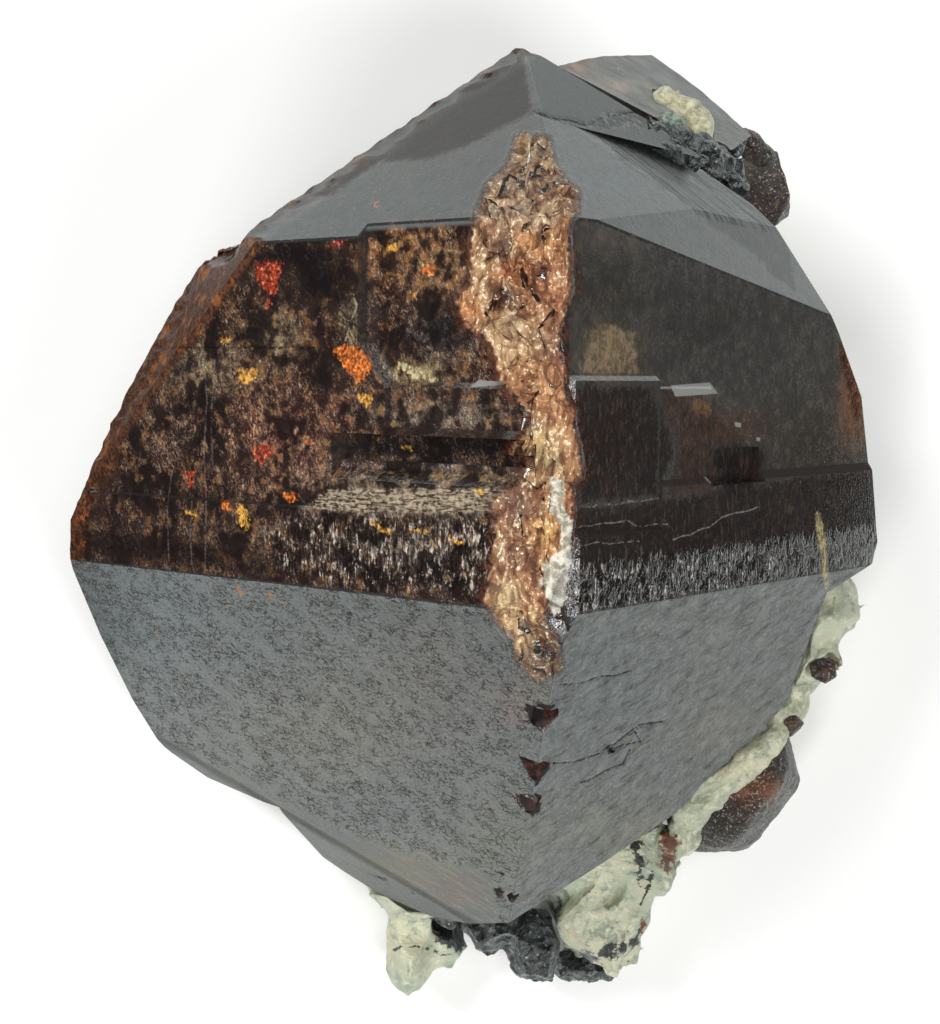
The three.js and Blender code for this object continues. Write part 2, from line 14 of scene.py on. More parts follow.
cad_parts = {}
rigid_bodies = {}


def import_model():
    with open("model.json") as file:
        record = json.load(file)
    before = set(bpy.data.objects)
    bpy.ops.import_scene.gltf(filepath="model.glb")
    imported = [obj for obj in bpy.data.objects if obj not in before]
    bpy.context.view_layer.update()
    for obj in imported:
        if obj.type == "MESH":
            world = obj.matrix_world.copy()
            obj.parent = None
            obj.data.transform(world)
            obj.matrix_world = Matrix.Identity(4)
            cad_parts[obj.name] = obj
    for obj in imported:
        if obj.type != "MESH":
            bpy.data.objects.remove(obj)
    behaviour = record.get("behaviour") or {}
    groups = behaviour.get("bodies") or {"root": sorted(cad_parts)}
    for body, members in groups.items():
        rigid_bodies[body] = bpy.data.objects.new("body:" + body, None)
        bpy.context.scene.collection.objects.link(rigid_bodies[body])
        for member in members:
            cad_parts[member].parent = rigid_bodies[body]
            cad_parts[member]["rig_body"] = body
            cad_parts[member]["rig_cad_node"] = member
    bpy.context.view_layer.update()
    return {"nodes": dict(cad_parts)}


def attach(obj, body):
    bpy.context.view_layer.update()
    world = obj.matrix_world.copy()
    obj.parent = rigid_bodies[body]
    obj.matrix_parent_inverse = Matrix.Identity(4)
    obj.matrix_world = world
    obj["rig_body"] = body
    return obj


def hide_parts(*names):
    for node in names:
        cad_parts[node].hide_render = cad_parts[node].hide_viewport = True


bl_info = {
    "name": "Rough zircon on feldspar",
    "version": (1, 0, 0),
    "blender": (4, 5, 0),
    "location": "View3D > Sidebar > Zircon",
    "description": "Dresses the packed solids of a rough zircon specimen and lights them",
    "category": "Object",
}

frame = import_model()

MM = 0.001

# The camera looks straight down on the specimen. Its focal length is in pixels of a 940 by 1024 picture.
CAMERA_PLACE = (-0.756, 2.117, 116.0)
FOCAL_PIXELS = 1800.0
PICTURE_SIZE = (940, 1024)

# The large crystal's own directions: the normals of its two upper prism faces, and its length.
LEFT = Vector((-0.633, -0.056, 0.772))
RIGHT = Vector((0.773, -0.057, 0.632))
LENGTH = Vector((0.0084, 0.997, 0.0789))
CENTRE = Vector((1.344, -0.883, 15.0))

# How far out the large crystal's end planes lie from its centre, in mm: where a face's look starts, and is full.
UPPER_END = (22.74, 22.82)
STREAKED_END = (22.74, 22.80)
STEEP_END = (19.80, 19.85)
BAND_FACE = (15.90, 16.05)
LOWER_END = (12.34, 12.40)
LEFT_BEVEL = (20.4, 20.6)

# The least share of facing the camera at which a mark from the picture is laid on the surface.
SEEN_ENOUGH = 0.3

# Outlines drawn on the picture, in pixels from its top left corner.
UPPER_BREAK = [
    (518, 137), (511, 163), (489, 185), (478, 211), (478, 220), (474, 248), (474, 287), (459, 302),
    (468, 324), (487, 333), (496, 348), (504, 379), (518, 398), (535, 413), (553, 407), (570, 411),
    (561, 389), (559, 370), (555, 333), (563, 302), (568, 291), (566, 259), (565, 222), (577, 210),
    (577, 192), (564, 180), (553, 165), (548, 139),
]
LOWER_BREAK = [
    (537, 410), (528, 435), (511, 450), (529, 446), (528, 480), (511, 492), (496, 503), (500, 520),
    (494, 557), (491, 585), (487, 601), (496, 618), (513, 638), (518, 659), (538, 681), (560, 668),
    (556, 640), (546, 630), (542, 618), (546, 594), (559, 566), (565, 548), (570, 513), (565, 481),
    (579, 474), (576, 448), (571, 428), (568, 408),
]
BREAKS = (UPPER_BREAK, LOWER_BREAK)
PALE_STREAK = [
    (548, 476), (565, 479), (564, 503), (574, 520), (572, 560), (566, 600), (556, 625), (546, 600), (533, 585),
    (542, 566), (559, 548), (561, 526), (548, 511), (550, 492),
]
LEFT_RIM = [
    (525, 45), (440, 95), (406, 120), (388, 136), (360, 157), (332, 174), (284, 205), (252, 226),
    (223, 245), (204, 259), (189, 280), (180, 302), (150, 360), (132, 393), (119, 408), (103, 443),
    (101, 465), (86, 488), (71, 519), (70, 551),
]
RIGHT_RIM = [(838, 335), (850, 350), (860, 386), (862, 425), (852, 418), (846, 390), (838, 360)]


def tone(red, green, blue):
    """A colour in 0 to 255 display values, as the linear colour that a shader takes."""
    shares = [value / 255 for value in (red, green, blue)]
    linear = [((share + 0.055) / 1.055) ** 2.4 if share > 0.04045 else share / 12.92 for share in shares]
    return (*linear, 1.0)


# Bright spots where light comes back from cracks inside the crystal: colour, then outline on the picture.
RED_GLOW = tone(178, 60, 38)
ORANGE_GLOW = tone(228, 120, 46)
GOLD_GLOW = tone(235, 175, 75)
PALE_GLOW = tone(205, 195, 150)
PINK_GLOW = tone(170, 40, 50)
FLASHES = [
    (RED_GLOW, [(252, 262), (284, 260), (280, 278), (277, 295), (268, 298), (258, 282)]),
    (RED_GLOW, [(266, 301), (271, 301), (271, 311), (266, 311)]),
    (ORANGE_GLOW, [(329, 347), (350, 344), (371, 352), (372, 372), (360, 386), (348, 376), (340, 362)]),
    (GOLD_GLOW, [(233, 369), (248, 365), (259, 372), (252, 386), (240, 383)]),
    (ORANGE_GLOW, [(421, 266), (436, 263), (434, 277), (423, 276)]),
    (GOLD_GLOW, [(380, 246), (397, 243), (396, 252), (383, 252)]),
    (GOLD_GLOW, [(221, 337), (231, 337), (230, 344), (222, 343)]),
    (PINK_GLOW, [(330, 240), (348, 240), (345, 247), (333, 247)]),
    (GOLD_GLOW, [(355, 392), (374, 394), (370, 408), (358, 404)]),
    (PALE_GLOW, [(393, 358), (408, 362), (440, 378), (438, 385), (415, 380), (398, 368)]),
    (ORANGE_GLOW, [(77, 512), (88, 512), (86, 523), (78, 523)]),
    (ORANGE_GLOW, [(77, 541), (85, 541), (84, 547), (78, 546)]),
    (GOLD_GLOW, [(180, 509), (196, 512), (204, 518), (192, 517)]),
    (GOLD_GLOW, [(236, 500), (247, 508), (252, 524), (243, 532), (236, 520)]),
    (ORANGE_GLOW, [(220, 500), (232, 502), (228, 512), (221, 510)]),
    (RED_GLOW, [(184, 471), (196, 470), (194, 484), (188, 489)]),
    (RED_GLOW, [(252, 448), (270, 440), (276, 455), (262, 466), (255, 462)]),
    (tone(190, 116, 44), [(235, 583), (239, 584), (245, 598), (240, 599)]),
    (tone(190, 116, 44), [(264, 587), (270, 590), (277, 599), (268, 600)]),
    (GOLD_GLOW, [(367, 518), (376, 520), (386, 529), (396, 531), (393, 536), (378, 533)]),
    (GOLD_GLOW, [(409, 527), (420, 530), (433, 528), (430, 534), (412, 534)]),
    (GOLD_GLOW, [(444, 536), (456, 540), (468, 538), (462, 546), (450, 544)]),
    (GOLD_GLOW, [(474, 490), (486, 489), (484, 496), (476, 497)]),
    (GOLD_GLOW, [(400, 446), (412, 444), (410, 450), (402, 451)]),
    (ORANGE_GLOW, [(305, 440), (314, 438), (312, 446), (306, 447)]),
    (GOLD_GLOW, [(410, 292), (418, 290), (417, 296), (411, 297)]),
    (ORANGE_GLOW, [(283, 494), (297, 492), (300, 502), (288, 504)]),
    (ORANGE_GLOW, [(371, 201), (380, 200), (378, 208), (372, 208)]),
]
# Broad veils inside the prism: middle and half sizes on the picture, colour, and how strongly it shows.
VEILS = [
    (310, 275, 55, 28, tone(36, 28, 30), 0.10),
    (275, 335, 22, 24, tone(160, 142, 112), 0.80),
    (200, 368, 45, 24, tone(128, 114, 90), 0.75),
    (160, 430, 70, 40, tone(80, 56, 50), 0.60),
    (110, 505, 50, 42, tone(78, 44, 38), 0.36),
    (290, 440, 50, 48, tone(124, 72, 60), 0.85),
    (390, 250, 34, 28, tone(170, 112, 56), 0.80),
    (448, 270, 34, 34, tone(156, 118, 82), 0.80),
    (352, 320, 14, 26, tone(120, 110, 84), 0.45),
    (440, 335, 32, 24, tone(104, 102, 102), 0.65),
    (385, 378, 30, 16, tone(74, 50, 48), 0.50),
    (418, 372, 28, 10, tone(186, 168, 124), 0.90),
    (440, 415, 66, 16, tone(130, 120, 108), 0.90),
    (410, 450, 90, 9, tone(56, 54, 56), 0.60),
    (430, 466, 90, 5, tone(86, 90, 98), 0.80),
    (430, 478, 100, 6, tone(140, 124, 98), 0.90),
    (415, 499, 92, 13, tone(182, 170, 146), 1.00),
    (420, 550, 110, 30, tone(124, 116, 108), 0.90),
    (250, 545, 60, 22, tone(104, 84, 70), 0.70),
    (140, 545, 80, 18, tone(66, 44, 38), 0.22),
    (612, 350, 24, 22, tone(150, 124, 84), 0.90),
    (600, 240, 40, 16, tone(110, 104, 98), 0.70),
    (600, 290, 40, 30, tone(78, 74, 70), 0.50),
    (700, 330, 60, 40, tone(72, 72, 72), 0.55),
    (780, 380, 80, 60, tone(84, 84, 82), 0.75),
    (735, 425, 34, 16, tone(96, 72, 60), 0.70),
    (735, 466, 28, 18, tone(48, 34, 34), 0.60),
    (605, 440, 34, 40, tone(84, 66, 58), 0.60),
    (815, 445, 40, 36, tone(78, 70, 62), 0.60),
    (690, 535, 130, 22, tone(74, 68, 66), 0.60),
    (650, 585, 90, 16, tone(70, 68, 68), 0.50),
    (855, 400, 14, 40, tone(150, 96, 54), 0.90),
]
CRACKS = [
    [(310, 850), (330, 856), (350, 866), (368, 874), (385, 880), (410, 893), (430, 905)],
    [(561, 685), (580, 684), (600, 677), (616, 676), (631, 671)],
    [(554, 764), (575, 762), (600, 754)],
    [(582, 783), (590, 780), (610, 769), (624, 764), (630, 750)],
    [(601, 752), (616, 744), (626, 736), (634, 730), (641, 742), (622, 746), (610, 750)],
    [(639, 726), (650, 724), (665, 722)],
    [(536, 112), (553, 118), (570, 120), (588, 125), (605, 116), (618, 115), (630, 112), (651, 114)],
]
# Pale lines: the first four, on the right prism, are painted highlights along ledge edges; the last four are pale
# hairline cracks on the left.
PALE_LINES = [
    [(578, 506), (592, 507), (600, 504), (616, 505), (630, 501), (639, 502), (652, 499), (659, 498)],
    [
        (574, 529), (582, 526), (590, 526), (602, 523), (615, 523), (627, 520), (634, 525), (641, 527),
        (655, 524), (669, 524)
    ],
    [(566, 550), (577, 546), (586, 545), (598, 542), (609, 544), (624, 542), (639, 541)],
    [(673, 540), (682, 536), (690, 535), (701, 529), (710, 527), (722, 517), (735, 513), (748, 511), (758, 507)],
    [(203, 340), (207, 400), (204, 450), (206, 500), (205, 571)],
    [(172, 470), (167, 510), (169, 562)],
    [(192, 500), (190, 530), (192, 566)],
    [(215, 360), (211, 420), (213, 470)],
]
# The pale streak down the right corner of the prism, and the feathered crack beside the block.
CREAM_STREAK = [(815, 510), (821, 512), (827, 540), (829, 575), (828, 597), (824, 590), (821, 560), (815, 530)]
FEATHER = [
    [(354, 298), (357, 307), (353, 316), (349, 328), (345, 341)],
    [(338, 312), (345, 319), (351, 321)],
    [(339, 323), (346, 328)],
    [(353, 326), (357, 332), (364, 339)],
    [(350, 331), (353, 337), (359, 343)],
    [(348, 334), (350, 341), (354, 346)],
    [(361, 300), (358, 305)],
]
# Patches with a clear edge inside the prism: colour, then outline on the picture.
PATCHES = [
    (tone(26, 19, 20), [
        (568, 388), (590, 385), (652, 388), (668, 423), (674, 455), (664, 478), (658, 496), (580, 504),
        (572, 470), (570, 430)
    ]),
    (tone(14, 10, 12), [
        (709, 455), (722, 446), (744, 443), (760, 449), (767, 463), (760, 478), (752, 490), (736, 497),
        (724, 510), (716, 500), (723, 484), (712, 468)
    ]),
    (tone(28, 19, 19), [
        (659, 500), (724, 489), (770, 483), (799, 477), (857, 471), (870, 471), (876, 545), (827, 572),
        (770, 583), (632, 611), (575, 618), (572, 510)
    ]),
    (tone(150, 132, 104), [
        (584, 352), (592, 330), (610, 323), (628, 330), (634, 352), (638, 372), (600, 376), (583, 375)
    ]),
    (tone(160, 92, 40), [(610, 350), (618, 342), (626, 350), (630, 362), (612, 366)]),
    (tone(70, 50, 42), [
        (655, 386), (668, 384), (690, 400), (742, 440), (712, 447), (722, 487), (664, 498), (674, 470),
        (677, 440)
    ]),
    (tone(128, 96, 58), [(688, 400), (706, 398), (714, 412), (706, 424), (692, 416)]),
    (tone(18, 15, 18), [(250, 250), (350, 246), (352, 276), (332, 300), (300, 298), (296, 262), (250, 262)]),
    (tone(20, 17, 20), [(428, 300), (470, 300), (472, 345), (440, 352), (420, 330)]),
    (tone(22, 18, 20), [(345, 442), (500, 440), (502, 452), (345, 456)]),
    (tone(20, 14, 16), [(296, 345), (326, 350), (336, 385), (322, 400), (300, 380)]),
    (tone(24, 15, 15), [(80, 530), (300, 556), (300, 580), (78, 550)]),
]
TIP_STAIN = [
    (525, 45), (440, 95), (388, 136), (340, 170), (300, 196), (330, 200), (380, 165), (430, 162),
    (470, 148), (500, 132), (536, 114),
]
# The wrinkled foot of the right prism; the white strokes painted on it are painted glints off its wrinkles.
PINCHED_FOOT = [
    (572, 568), (640, 556), (720, 548), (775, 552), (780, 576), (720, 594), (632, 608), (574, 618),
]
PITS = [
    [(522, 702), (556, 704), (560, 712), (552, 724), (541, 732), (528, 722)],
    [(520, 758), (536, 762), (554, 760), (549, 774), (536, 789), (528, 777)],
    [(512, 790), (528, 796), (545, 803), (541, 813), (533, 819), (521, 808)],
    [(498, 871), (507, 872), (503, 883)],
    [(490, 888), (500, 886), (506, 892), (499, 902)],
]
# Ledges given painted shade: laid over with dark brown and dulled, so that they hardly show.
SHADED = [
    [(650, 466), (716, 464), (716, 496), (650, 506)],
    [(716, 462), (885, 447), (885, 485), (760, 499)],
    [(95, 482), (300, 497), (300, 524), (95, 512)],
    [(560, 518), (672, 516), (672, 560), (560, 560)],
    [(383, 425), (506, 425), (506, 446), (383, 446)],
]
# The streaked facet of the upper right end.
STREAKED_FACET = [
    (560, 122), (595, 133), (618, 158), (698, 217), (748, 253), (800, 300), (790, 240), (760, 190), (727, 180),
    (668, 154), (645, 130), (605, 122),
]
# Small faces painted pale grey as painted highlights where they catch the light, and the speckled strip along the
# upper crack.
GLINTS = [
    [(670, 385), (710, 382), (719, 394), (675, 397)],
    [(734, 421), (742, 423), (741, 428), (735, 427)],
    [(468, 388), (478, 380), (505, 381), (505, 385), (482, 387)],
    [(756, 436), (761, 438), (760, 442), (756, 441)],
]
SPECKLED = [
    (548, 116), (575, 121), (590, 118), (605, 110), (630, 105), (655, 112), (668, 130), (640, 130),
    (600, 131), (575, 128), (555, 124),
]
# The smooth band along the lower left edge.
LOWER_BAND = [
    (165, 740), (205, 762), (265, 790), (340, 833), (410, 856), (490, 876), (500, 930), (491, 940), (464, 930),
    (441, 915), (409, 915), (372, 905), (330, 885), (290, 850), (275, 820), (250, 800), (200, 795),
]
# Colours of the grey ends: middle and half sizes on the picture, and colour.
END_TINTS = [
    (150, 620, 70, 60, tone(44, 54, 62)),
    (330, 730, 110, 60, tone(74, 66, 50)),
    (430, 690, 50, 60, tone(68, 58, 50)),
    (250, 640, 60, 30, tone(50, 54, 54)),
    (400, 870, 90, 24, tone(86, 76, 54)),
    (462, 890, 26, 14, tone(92, 56, 50)),
    (500, 850, 40, 50, tone(66, 64, 46)),
    (520, 705, 22, 20, tone(92, 62, 54)),
    (535, 690, 20, 14, tone(96, 84, 64)),
    (600, 680, 60, 40, tone(44, 52, 56)),
    (720, 640, 60, 40, tone(60, 60, 54)),
    (730, 730, 50, 30, tone(84, 74, 58)),
    (620, 830, 80, 30, tone(80, 74, 48)),
    (430, 120, 60, 34, tone(72, 56, 44)),
    (300, 215, 70, 20, tone(58, 60, 60)),
    (600, 100, 50, 20, tone(44, 50, 54)),
    (620, 180, 50, 30, tone(56, 64, 70)),
    (740, 270, 50, 30, tone(62, 56, 62)),
]
# Colours of the small brown crystals, and of the neighbour: middle and half sizes on the picture, and colour.
BROWN_TINTS = [
    (793, 772, 17, 36, tone(72, 70, 68)),
    (755, 790, 22, 14, tone(136, 82, 44)),
    (735, 834, 50, 22, tone(48, 44, 38)),
    (826, 672, 12, 16, tone(80, 54, 42)),
    (788, 722, 14, 12, tone(92, 68, 48)),
    (764, 192, 14, 30, tone(62, 42, 34)),
    (746, 165, 12, 16, tone(104, 92, 82)),
    (772, 165, 10, 14, tone(70, 66, 62)),
]
NEIGHBOUR_TINTS = [
    (622, 86, 22, 6, tone(150, 128, 110)),
    (574, 68, 12, 8, tone(130, 84, 50)),
    (730, 132, 26, 20, tone(54, 44, 38)),
    (700, 98, 24, 14, tone(60, 58, 54)),
    (655, 70, 30, 8, tone(70, 72, 70)),
]
# Crust and loose grains: place on the picture, height in mm, three half sizes in mm, and turn in degrees.
CRUST = [
    (795, 702, 7.4, 1.5, 0.95, 0.6, 66),
    (783, 724, 7.9, 1.6, 0.90, 0.6, 58),
    (768, 744, 8.2, 1.5, 0.90, 0.6, 45),
    (751, 762, 8.4, 1.7, 0.95, 0.6, 38),
    (730, 777, 8.5, 1.7, 0.95, 0.6, 34),
    (709, 794, 8.3, 1.6, 1.15, 0.7, 40),
    (693, 812, 8.0, 1.5, 1.15, 0.8, 55),
    (684, 834, 7.4, 1.5, 1.10, 0.9, 80),
    (672, 842, 7.0, 1.3, 1.10, 0.9, 80),
]
WHITE_GRAIN = [(724, 168, 16.9, 0.34, 0.80, 0.5, 12)]
GLASSY_GRAIN = [(671, 121, 19.2, 0.80, 0.50, 0.45, -25)]
GAP_CRUMBS = [
    (737, 148, 15.0, 0.8, 0.6, 0.8, 40),
    (728, 140, 15.4, 0.6, 0.6, 0.6, 0),
    (612, 129, 23.0, 0.70, 0.32, 0.5, -25),
    (626, 134, 22.3, 0.80, 0.42, 0.7, -25),
    (641, 140, 21.4, 0.90, 0.55, 0.8, -25),
    (656, 147, 20.7, 1.00, 0.65, 0.9, -28),
    (671, 154, 19.9, 1.00, 0.75, 1.0, -28),
    (686, 161, 19.2, 1.00, 0.80, 1.1, -28),
    (712, 140, 16.4, 0.5, 0.6, 0.5, 10),
    (648, 127, 19.4, 0.7, 0.28, 0.35, -20),
    (633, 121, 19.9, 0.6, 0.20, 0.30, -14),
    (617, 120, 20.3, 0.5, 0.16, 0.26, 6),
    (662, 138, 18.9, 0.8, 0.50, 0.5, -30),
    (678, 150, 18.2, 0.9, 0.60, 0.6, -30),
    (697, 160, 17.4, 0.8, 0.70, 0.6, -24),
    (712, 168, 16.8, 0.7, 0.60, 0.6, -20),
]
BROWN_SHOULDER = [
    (751, 146, 13.6, 1.3, 0.8, 1.3, -50),
    (761, 156, 13.2, 1.2, 0.8, 1.2, -50),
]
# Colours of the sugary break: middle and half sizes on the picture, and colour.
BREAK_TINTS = [
    (530, 150, 18, 12, tone(196, 172, 132)),
    (520, 185, 30, 20, tone(184, 156, 128)),
    (545, 180, 12, 20, tone(176, 138, 112)),
    (498, 212, 26, 14, tone(196, 166, 138)),
    (535, 215, 22, 14, tone(188, 162, 130)),
    (500, 248, 16, 16, tone(74, 48, 42)),
    (538, 243, 18, 12, tone(214, 156, 92)),
    (480, 262, 9, 28, tone(176, 138, 96)),
    (512, 272, 14, 9, tone(206, 120, 56)),
    (540, 272, 16, 18, tone(150, 84, 52)),
    (503, 298, 14, 12, tone(70, 46, 42)),
    (548, 302, 14, 14, tone(202, 136, 96)),
    (470, 308, 14, 10, tone(196, 126, 66)),
    (510, 326, 24, 10, tone(176, 150, 112)),
    (540, 340, 18, 18, tone(168, 130, 96)),
    (556, 355, 6, 30, tone(128, 66, 56)),
    (505, 350, 14, 14, tone(200, 162, 118)),
    (540, 392, 22, 20, tone(210, 150, 98)),
    (525, 425, 14, 12, tone(60, 42, 42)),
    (545, 455, 20, 22, tone(166, 138, 94)),
    (535, 440, 10, 9, tone(202, 164, 104)),
    (515, 505, 20, 24, tone(112, 78, 68)),
    (545, 535, 16, 18, tone(206, 152, 78)),
    (512, 555, 16, 20, tone(118, 74, 54)),
    (505, 600, 16, 16, tone(214, 190, 140)),
    (530, 610, 13, 14, tone(190, 134, 90)),
    (522, 640, 10, 18, tone(220, 190, 140)),
    (546, 655, 20, 22, tone(74, 62, 50)),
    (575, 610, 8, 30, tone(150, 140, 126)),
]
WHITE_MARKS = [
    (300, 520), (330, 512), (500, 516), (500, 560), (486, 592), (380, 588), (300, 580), (270, 560), (262, 530)
]
ETCHED_TREAD = [(326, 488), (530, 486), (525, 502), (500, 514), (330, 513), (305, 506)]


def millimetres(mesh):
    """The places of a mesh's points, one row each."""
    found = np.empty(len(mesh.vertices) * 3)
    mesh.vertices.foreach_get("co", found)
    return found.reshape(-1, 3) / MM


def picture_places(points):
    """Where the camera sees each point, in pixels of the picture."""
    depth = CAMERA_PLACE[2] - points[:, 2]
    across = PICTURE_SIZE[0] / 2 + (points[:, 0] - CAMERA_PLACE[0]) * FOCAL_PIXELS / depth
    down = PICTURE_SIZE[1] / 2 - (points[:, 1] - CAMERA_PLACE[1]) * FOCAL_PIXELS / depth
    return np.stack([across, down], 1)


def line_distance(places, corners, closed=True):
    """How far each place is from a line through the corners."""
    nearest = np.full(len(places), 1e9)
    following = corners[1:] + corners[:1] if closed else corners[1:]
    for start, end in zip(corners, following):
        a, b = np.array(start, float), np.array(end, float)
        along = np.clip((places - a) @ (b - a) / max((b - a) @ (b - a), 1e-9), 0, 1)
        nearest = np.minimum(nearest, np.linalg.norm(places - a - along[:, None] * (b - a), axis=1))
    return nearest


def outline_depth(places, corners):
    """How deep each place lies inside a closed outline; outside it, the value is negative."""
    inside = np.zeros(len(places), bool)
    for (x1, y1), (x2, y2) in zip(corners, corners[1:] + corners[:1]):
        if y1 == y2:
            continue
        crosses = (y1 > places[:, 1]) != (y2 > places[:, 1])
        at = x1 + (places[:, 1] - y1) * (x2 - x1) / (y2 - y1)
        inside ^= crosses & (places[:, 0] < at)
    return np.where(inside, 1, -1) * line_distance(places, corners)


def depth_in_any(places, outlines):
    """How deep each place lies in the one of several outlines that it is deepest in."""
    return np.max([outline_depth(places, corners) for corners in outlines], axis=0)


def soft_step(values, low, high):
    """Rises smoothly from 0 at low to 1 at high."""
    share = np.clip((values - low) / (high - low), 0, 1)
    return share * share * (3 - 2 * share)


def facing_up(mesh):
    """How far each point's surface faces the camera: 1 towards it, 0 edge on or away."""
    found = np.empty(len(mesh.vertices) * 3)
    mesh.vertices.foreach_get("normal", found)
    return soft_step(found.reshape(-1, 3)[:, 2], -0.05, 0.1)


def crystal_places(points):
    """Distances right, left and along the large crystal from its centre."""
    out = points - np.array(CENTRE)
    return out @ np.array(RIGHT), out @ np.array(LEFT), out @ np.array(LENGTH)


def paint(piece, name, values):
    """Stores one number for each point of a piece, which its finish reads."""
    layer = piece.data.attributes.new(name, "FLOAT", "POINT")
    layer.data.foreach_set("value", np.asarray(values, np.float32))


def paint_colours(piece, name, colours):
    """Stores one colour for each point of a piece, which its finish reads."""
    layer = piece.data.attributes.new(name, "FLOAT_COLOR", "POINT")
    layer.data.foreach_set("color", np.asarray(colours, np.float32).ravel())


def select_only(thing):
    """Leaves one object selected and active."""
    bpy.ops.object.select_all(action="DESELECT")
    thing.select_set(True)
    bpy.context.view_layer.objects.active = thing


def copy_of_solid(node, name):
    """A closed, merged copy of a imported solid, to be shaped further."""
    select_only(frame["nodes"][node])
    bpy.ops.object.duplicate()
    piece = bpy.context.active_object
    piece.name = name
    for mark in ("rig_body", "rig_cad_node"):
        if mark in piece:
            del piece[mark]
    bpy.ops.object.parent_clear(type="CLEAR_KEEP_TRANSFORM")
    piece.data.materials.clear()
    bpy.ops.mesh.customdata_custom_splitnormals_clear()
    bpy.ops.object.mode_set(mode="EDIT")
    bpy.ops.mesh.select_all(action="SELECT")
    bpy.ops.mesh.remove_doubles(threshold=1e-6)
    bpy.ops.mesh.dissolve_limited(angle_limit=math.radians(0.4))
    bpy.ops.mesh.quads_convert_to_tris(quad_method="BEAUTY", ngon_method="BEAUTY")
    bpy.ops.object.mode_set(mode="OBJECT")
    return piece


def refine(piece, spacing, rounds=9):
    """Splits every edge that is longer than the spacing wanted at its middle, and does so again."""
    select_only(piece)
    bpy.context.tool_settings.mesh_select_mode = (False, True, False)
    for _ in range(rounds):
        mesh = piece.data
        points = millimetres(mesh)
        ends = np.empty(len(mesh.edges) * 2, int)
        mesh.edges.foreach_get("vertices", ends)
        first, second = points[ends[0::2]], points[ends[1::2]]
        chosen = np.linalg.norm(first - second, axis=1) > spacing((first + second) / 2)
        if not chosen.any():
            break
        touched = np.zeros(len(points), bool)
        touched[ends.reshape(-1, 2)[chosen].ravel()] = True
        mesh.vertices.foreach_set("select", touched)
        mesh.edges.foreach_set("select", chosen)
        mesh.polygons.foreach_set("select", np.zeros(len(mesh.polygons), bool))
        bpy.ops.object.mode_set(mode="EDIT")
        bpy.ops.mesh.subdivide(number_cuts=1)
        bpy.ops.mesh.select_all(action="SELECT")
        bpy.ops.mesh.quads_convert_to_tris(quad_method="BEAUTY", ngon_method="BEAUTY")
        bpy.ops.object.mode_set(mode="OBJECT")


def soften(piece, rounds, above=-1e9):
    """Rounds off corners above a height by moving points towards their neighbours."""
    select_only(piece)
    bpy.context.tool_settings.mesh_select_mode = (True, False, False)
    mesh = piece.data
    mesh.vertices.foreach_set("select", millimetres(mesh)[:, 2] > above)
    mesh.edges.foreach_set("select", np.zeros(len(mesh.edges), bool))
    mesh.polygons.foreach_set("select", np.zeros(len(mesh.polygons), bool))
    bpy.ops.object.mode_set(mode="EDIT")
    bpy.ops.mesh.vertices_smooth(factor=0.5, repeat=rounds)
    bpy.ops.object.mode_set(mode="OBJECT")


def rough_lumps(name, lumps):
    """Rounded lumps, each by its place on the picture, height, half sizes and turn, joined in one piece."""
    made = []
    for across, down, height, *sizes, turn in lumps:
        depth = (CAMERA_PLACE[2] - height) / FOCAL_PIXELS
        place = (
            CAMERA_PLACE[0] + (across - PICTURE_SIZE[0] / 2) * depth,
            CAMERA_PLACE[1] + (PICTURE_SIZE[1] / 2 - down) * depth,
            height,
        )
        bpy.ops.object.select_all(action="DESELECT")
        bpy.ops.mesh.primitive_ico_sphere_add(
            subdivisions=4, radius=MM, location=[value * MM for value in place], rotation=(0, 0, math.radians(turn))
        )
        lump = bpy.context.active_object
        lump.scale = sizes
        bpy.ops.object.transform_apply(location=True, rotation=True, scale=True)
        made.append(lump)
    bpy.ops.object.select_all(action="DESELECT")
    for lump in made:
        lump.select_set(True)
    bpy.context.view_layer.objects.active = made[0]
    if len(made) > 1:
        bpy.ops.object.join()
        bpy.ops.object.modifier_add(type="REMESH")
        skin = made[0].modifiers[-1]
        skin.mode = "VOXEL"
        skin.voxel_size = 0.14 * MM
        bpy.ops.object.modifier_apply(modifier=skin.name)
        soften(made[0], 8)
    made[0].name = name
    return made[0]


def join_to(piece, other):
    """Makes another mesh a part of a piece."""
    select_only(piece)
    other.select_set(True)
    bpy.ops.object.join()


def weigh(piece, name, weights):
    """Makes a vertex group from one weight for each point."""
    group = piece.vertex_groups.new(name=name)
    steps = np.round(np.clip(weights, 0, 1) * 20).astype(int)
    for level in range(1, 21):
        found = np.nonzero(steps == level)[0]
        if len(found):
            group.add(found.tolist(), level / 20, "REPLACE")
    return name


def displace(piece, name, kind, settings, depth, group="", middle=0.5, grain=(1, 1, 1)):
    """Moves the surface in and out by a pattern that can be stretched along the crystal's directions."""
    pattern = bpy.data.textures.new(name, type=kind)
    for setting, value in settings.items():
        setattr(pattern, setting, value)
    bpy.ops.object.select_all(action="DESELECT")
    bpy.ops.object.empty_add(type="PLAIN_AXES")
    guide = bpy.context.active_object
    columns = [axis.normalized() * size * MM for axis, size in zip((LEFT, RIGHT, LENGTH), grain)]
    guide.matrix_world = Matrix.Translation(CENTRE * MM) @ Matrix(columns).transposed().to_4x4()
    select_only(piece)
    bpy.ops.object.modifier_add(type="DISPLACE")
    modifier = piece.modifiers[-1]
    modifier.texture = pattern
    modifier.texture_coords = "OBJECT"
    modifier.texture_coords_object = guide
    modifier.strength = depth * MM
    modifier.mid_level = middle
    modifier.vertex_group = group
    bpy.context.view_layer.update()
    bpy.ops.object.modifier_apply(modifier=modifier.name)
    bpy.data.objects.remove(guide)


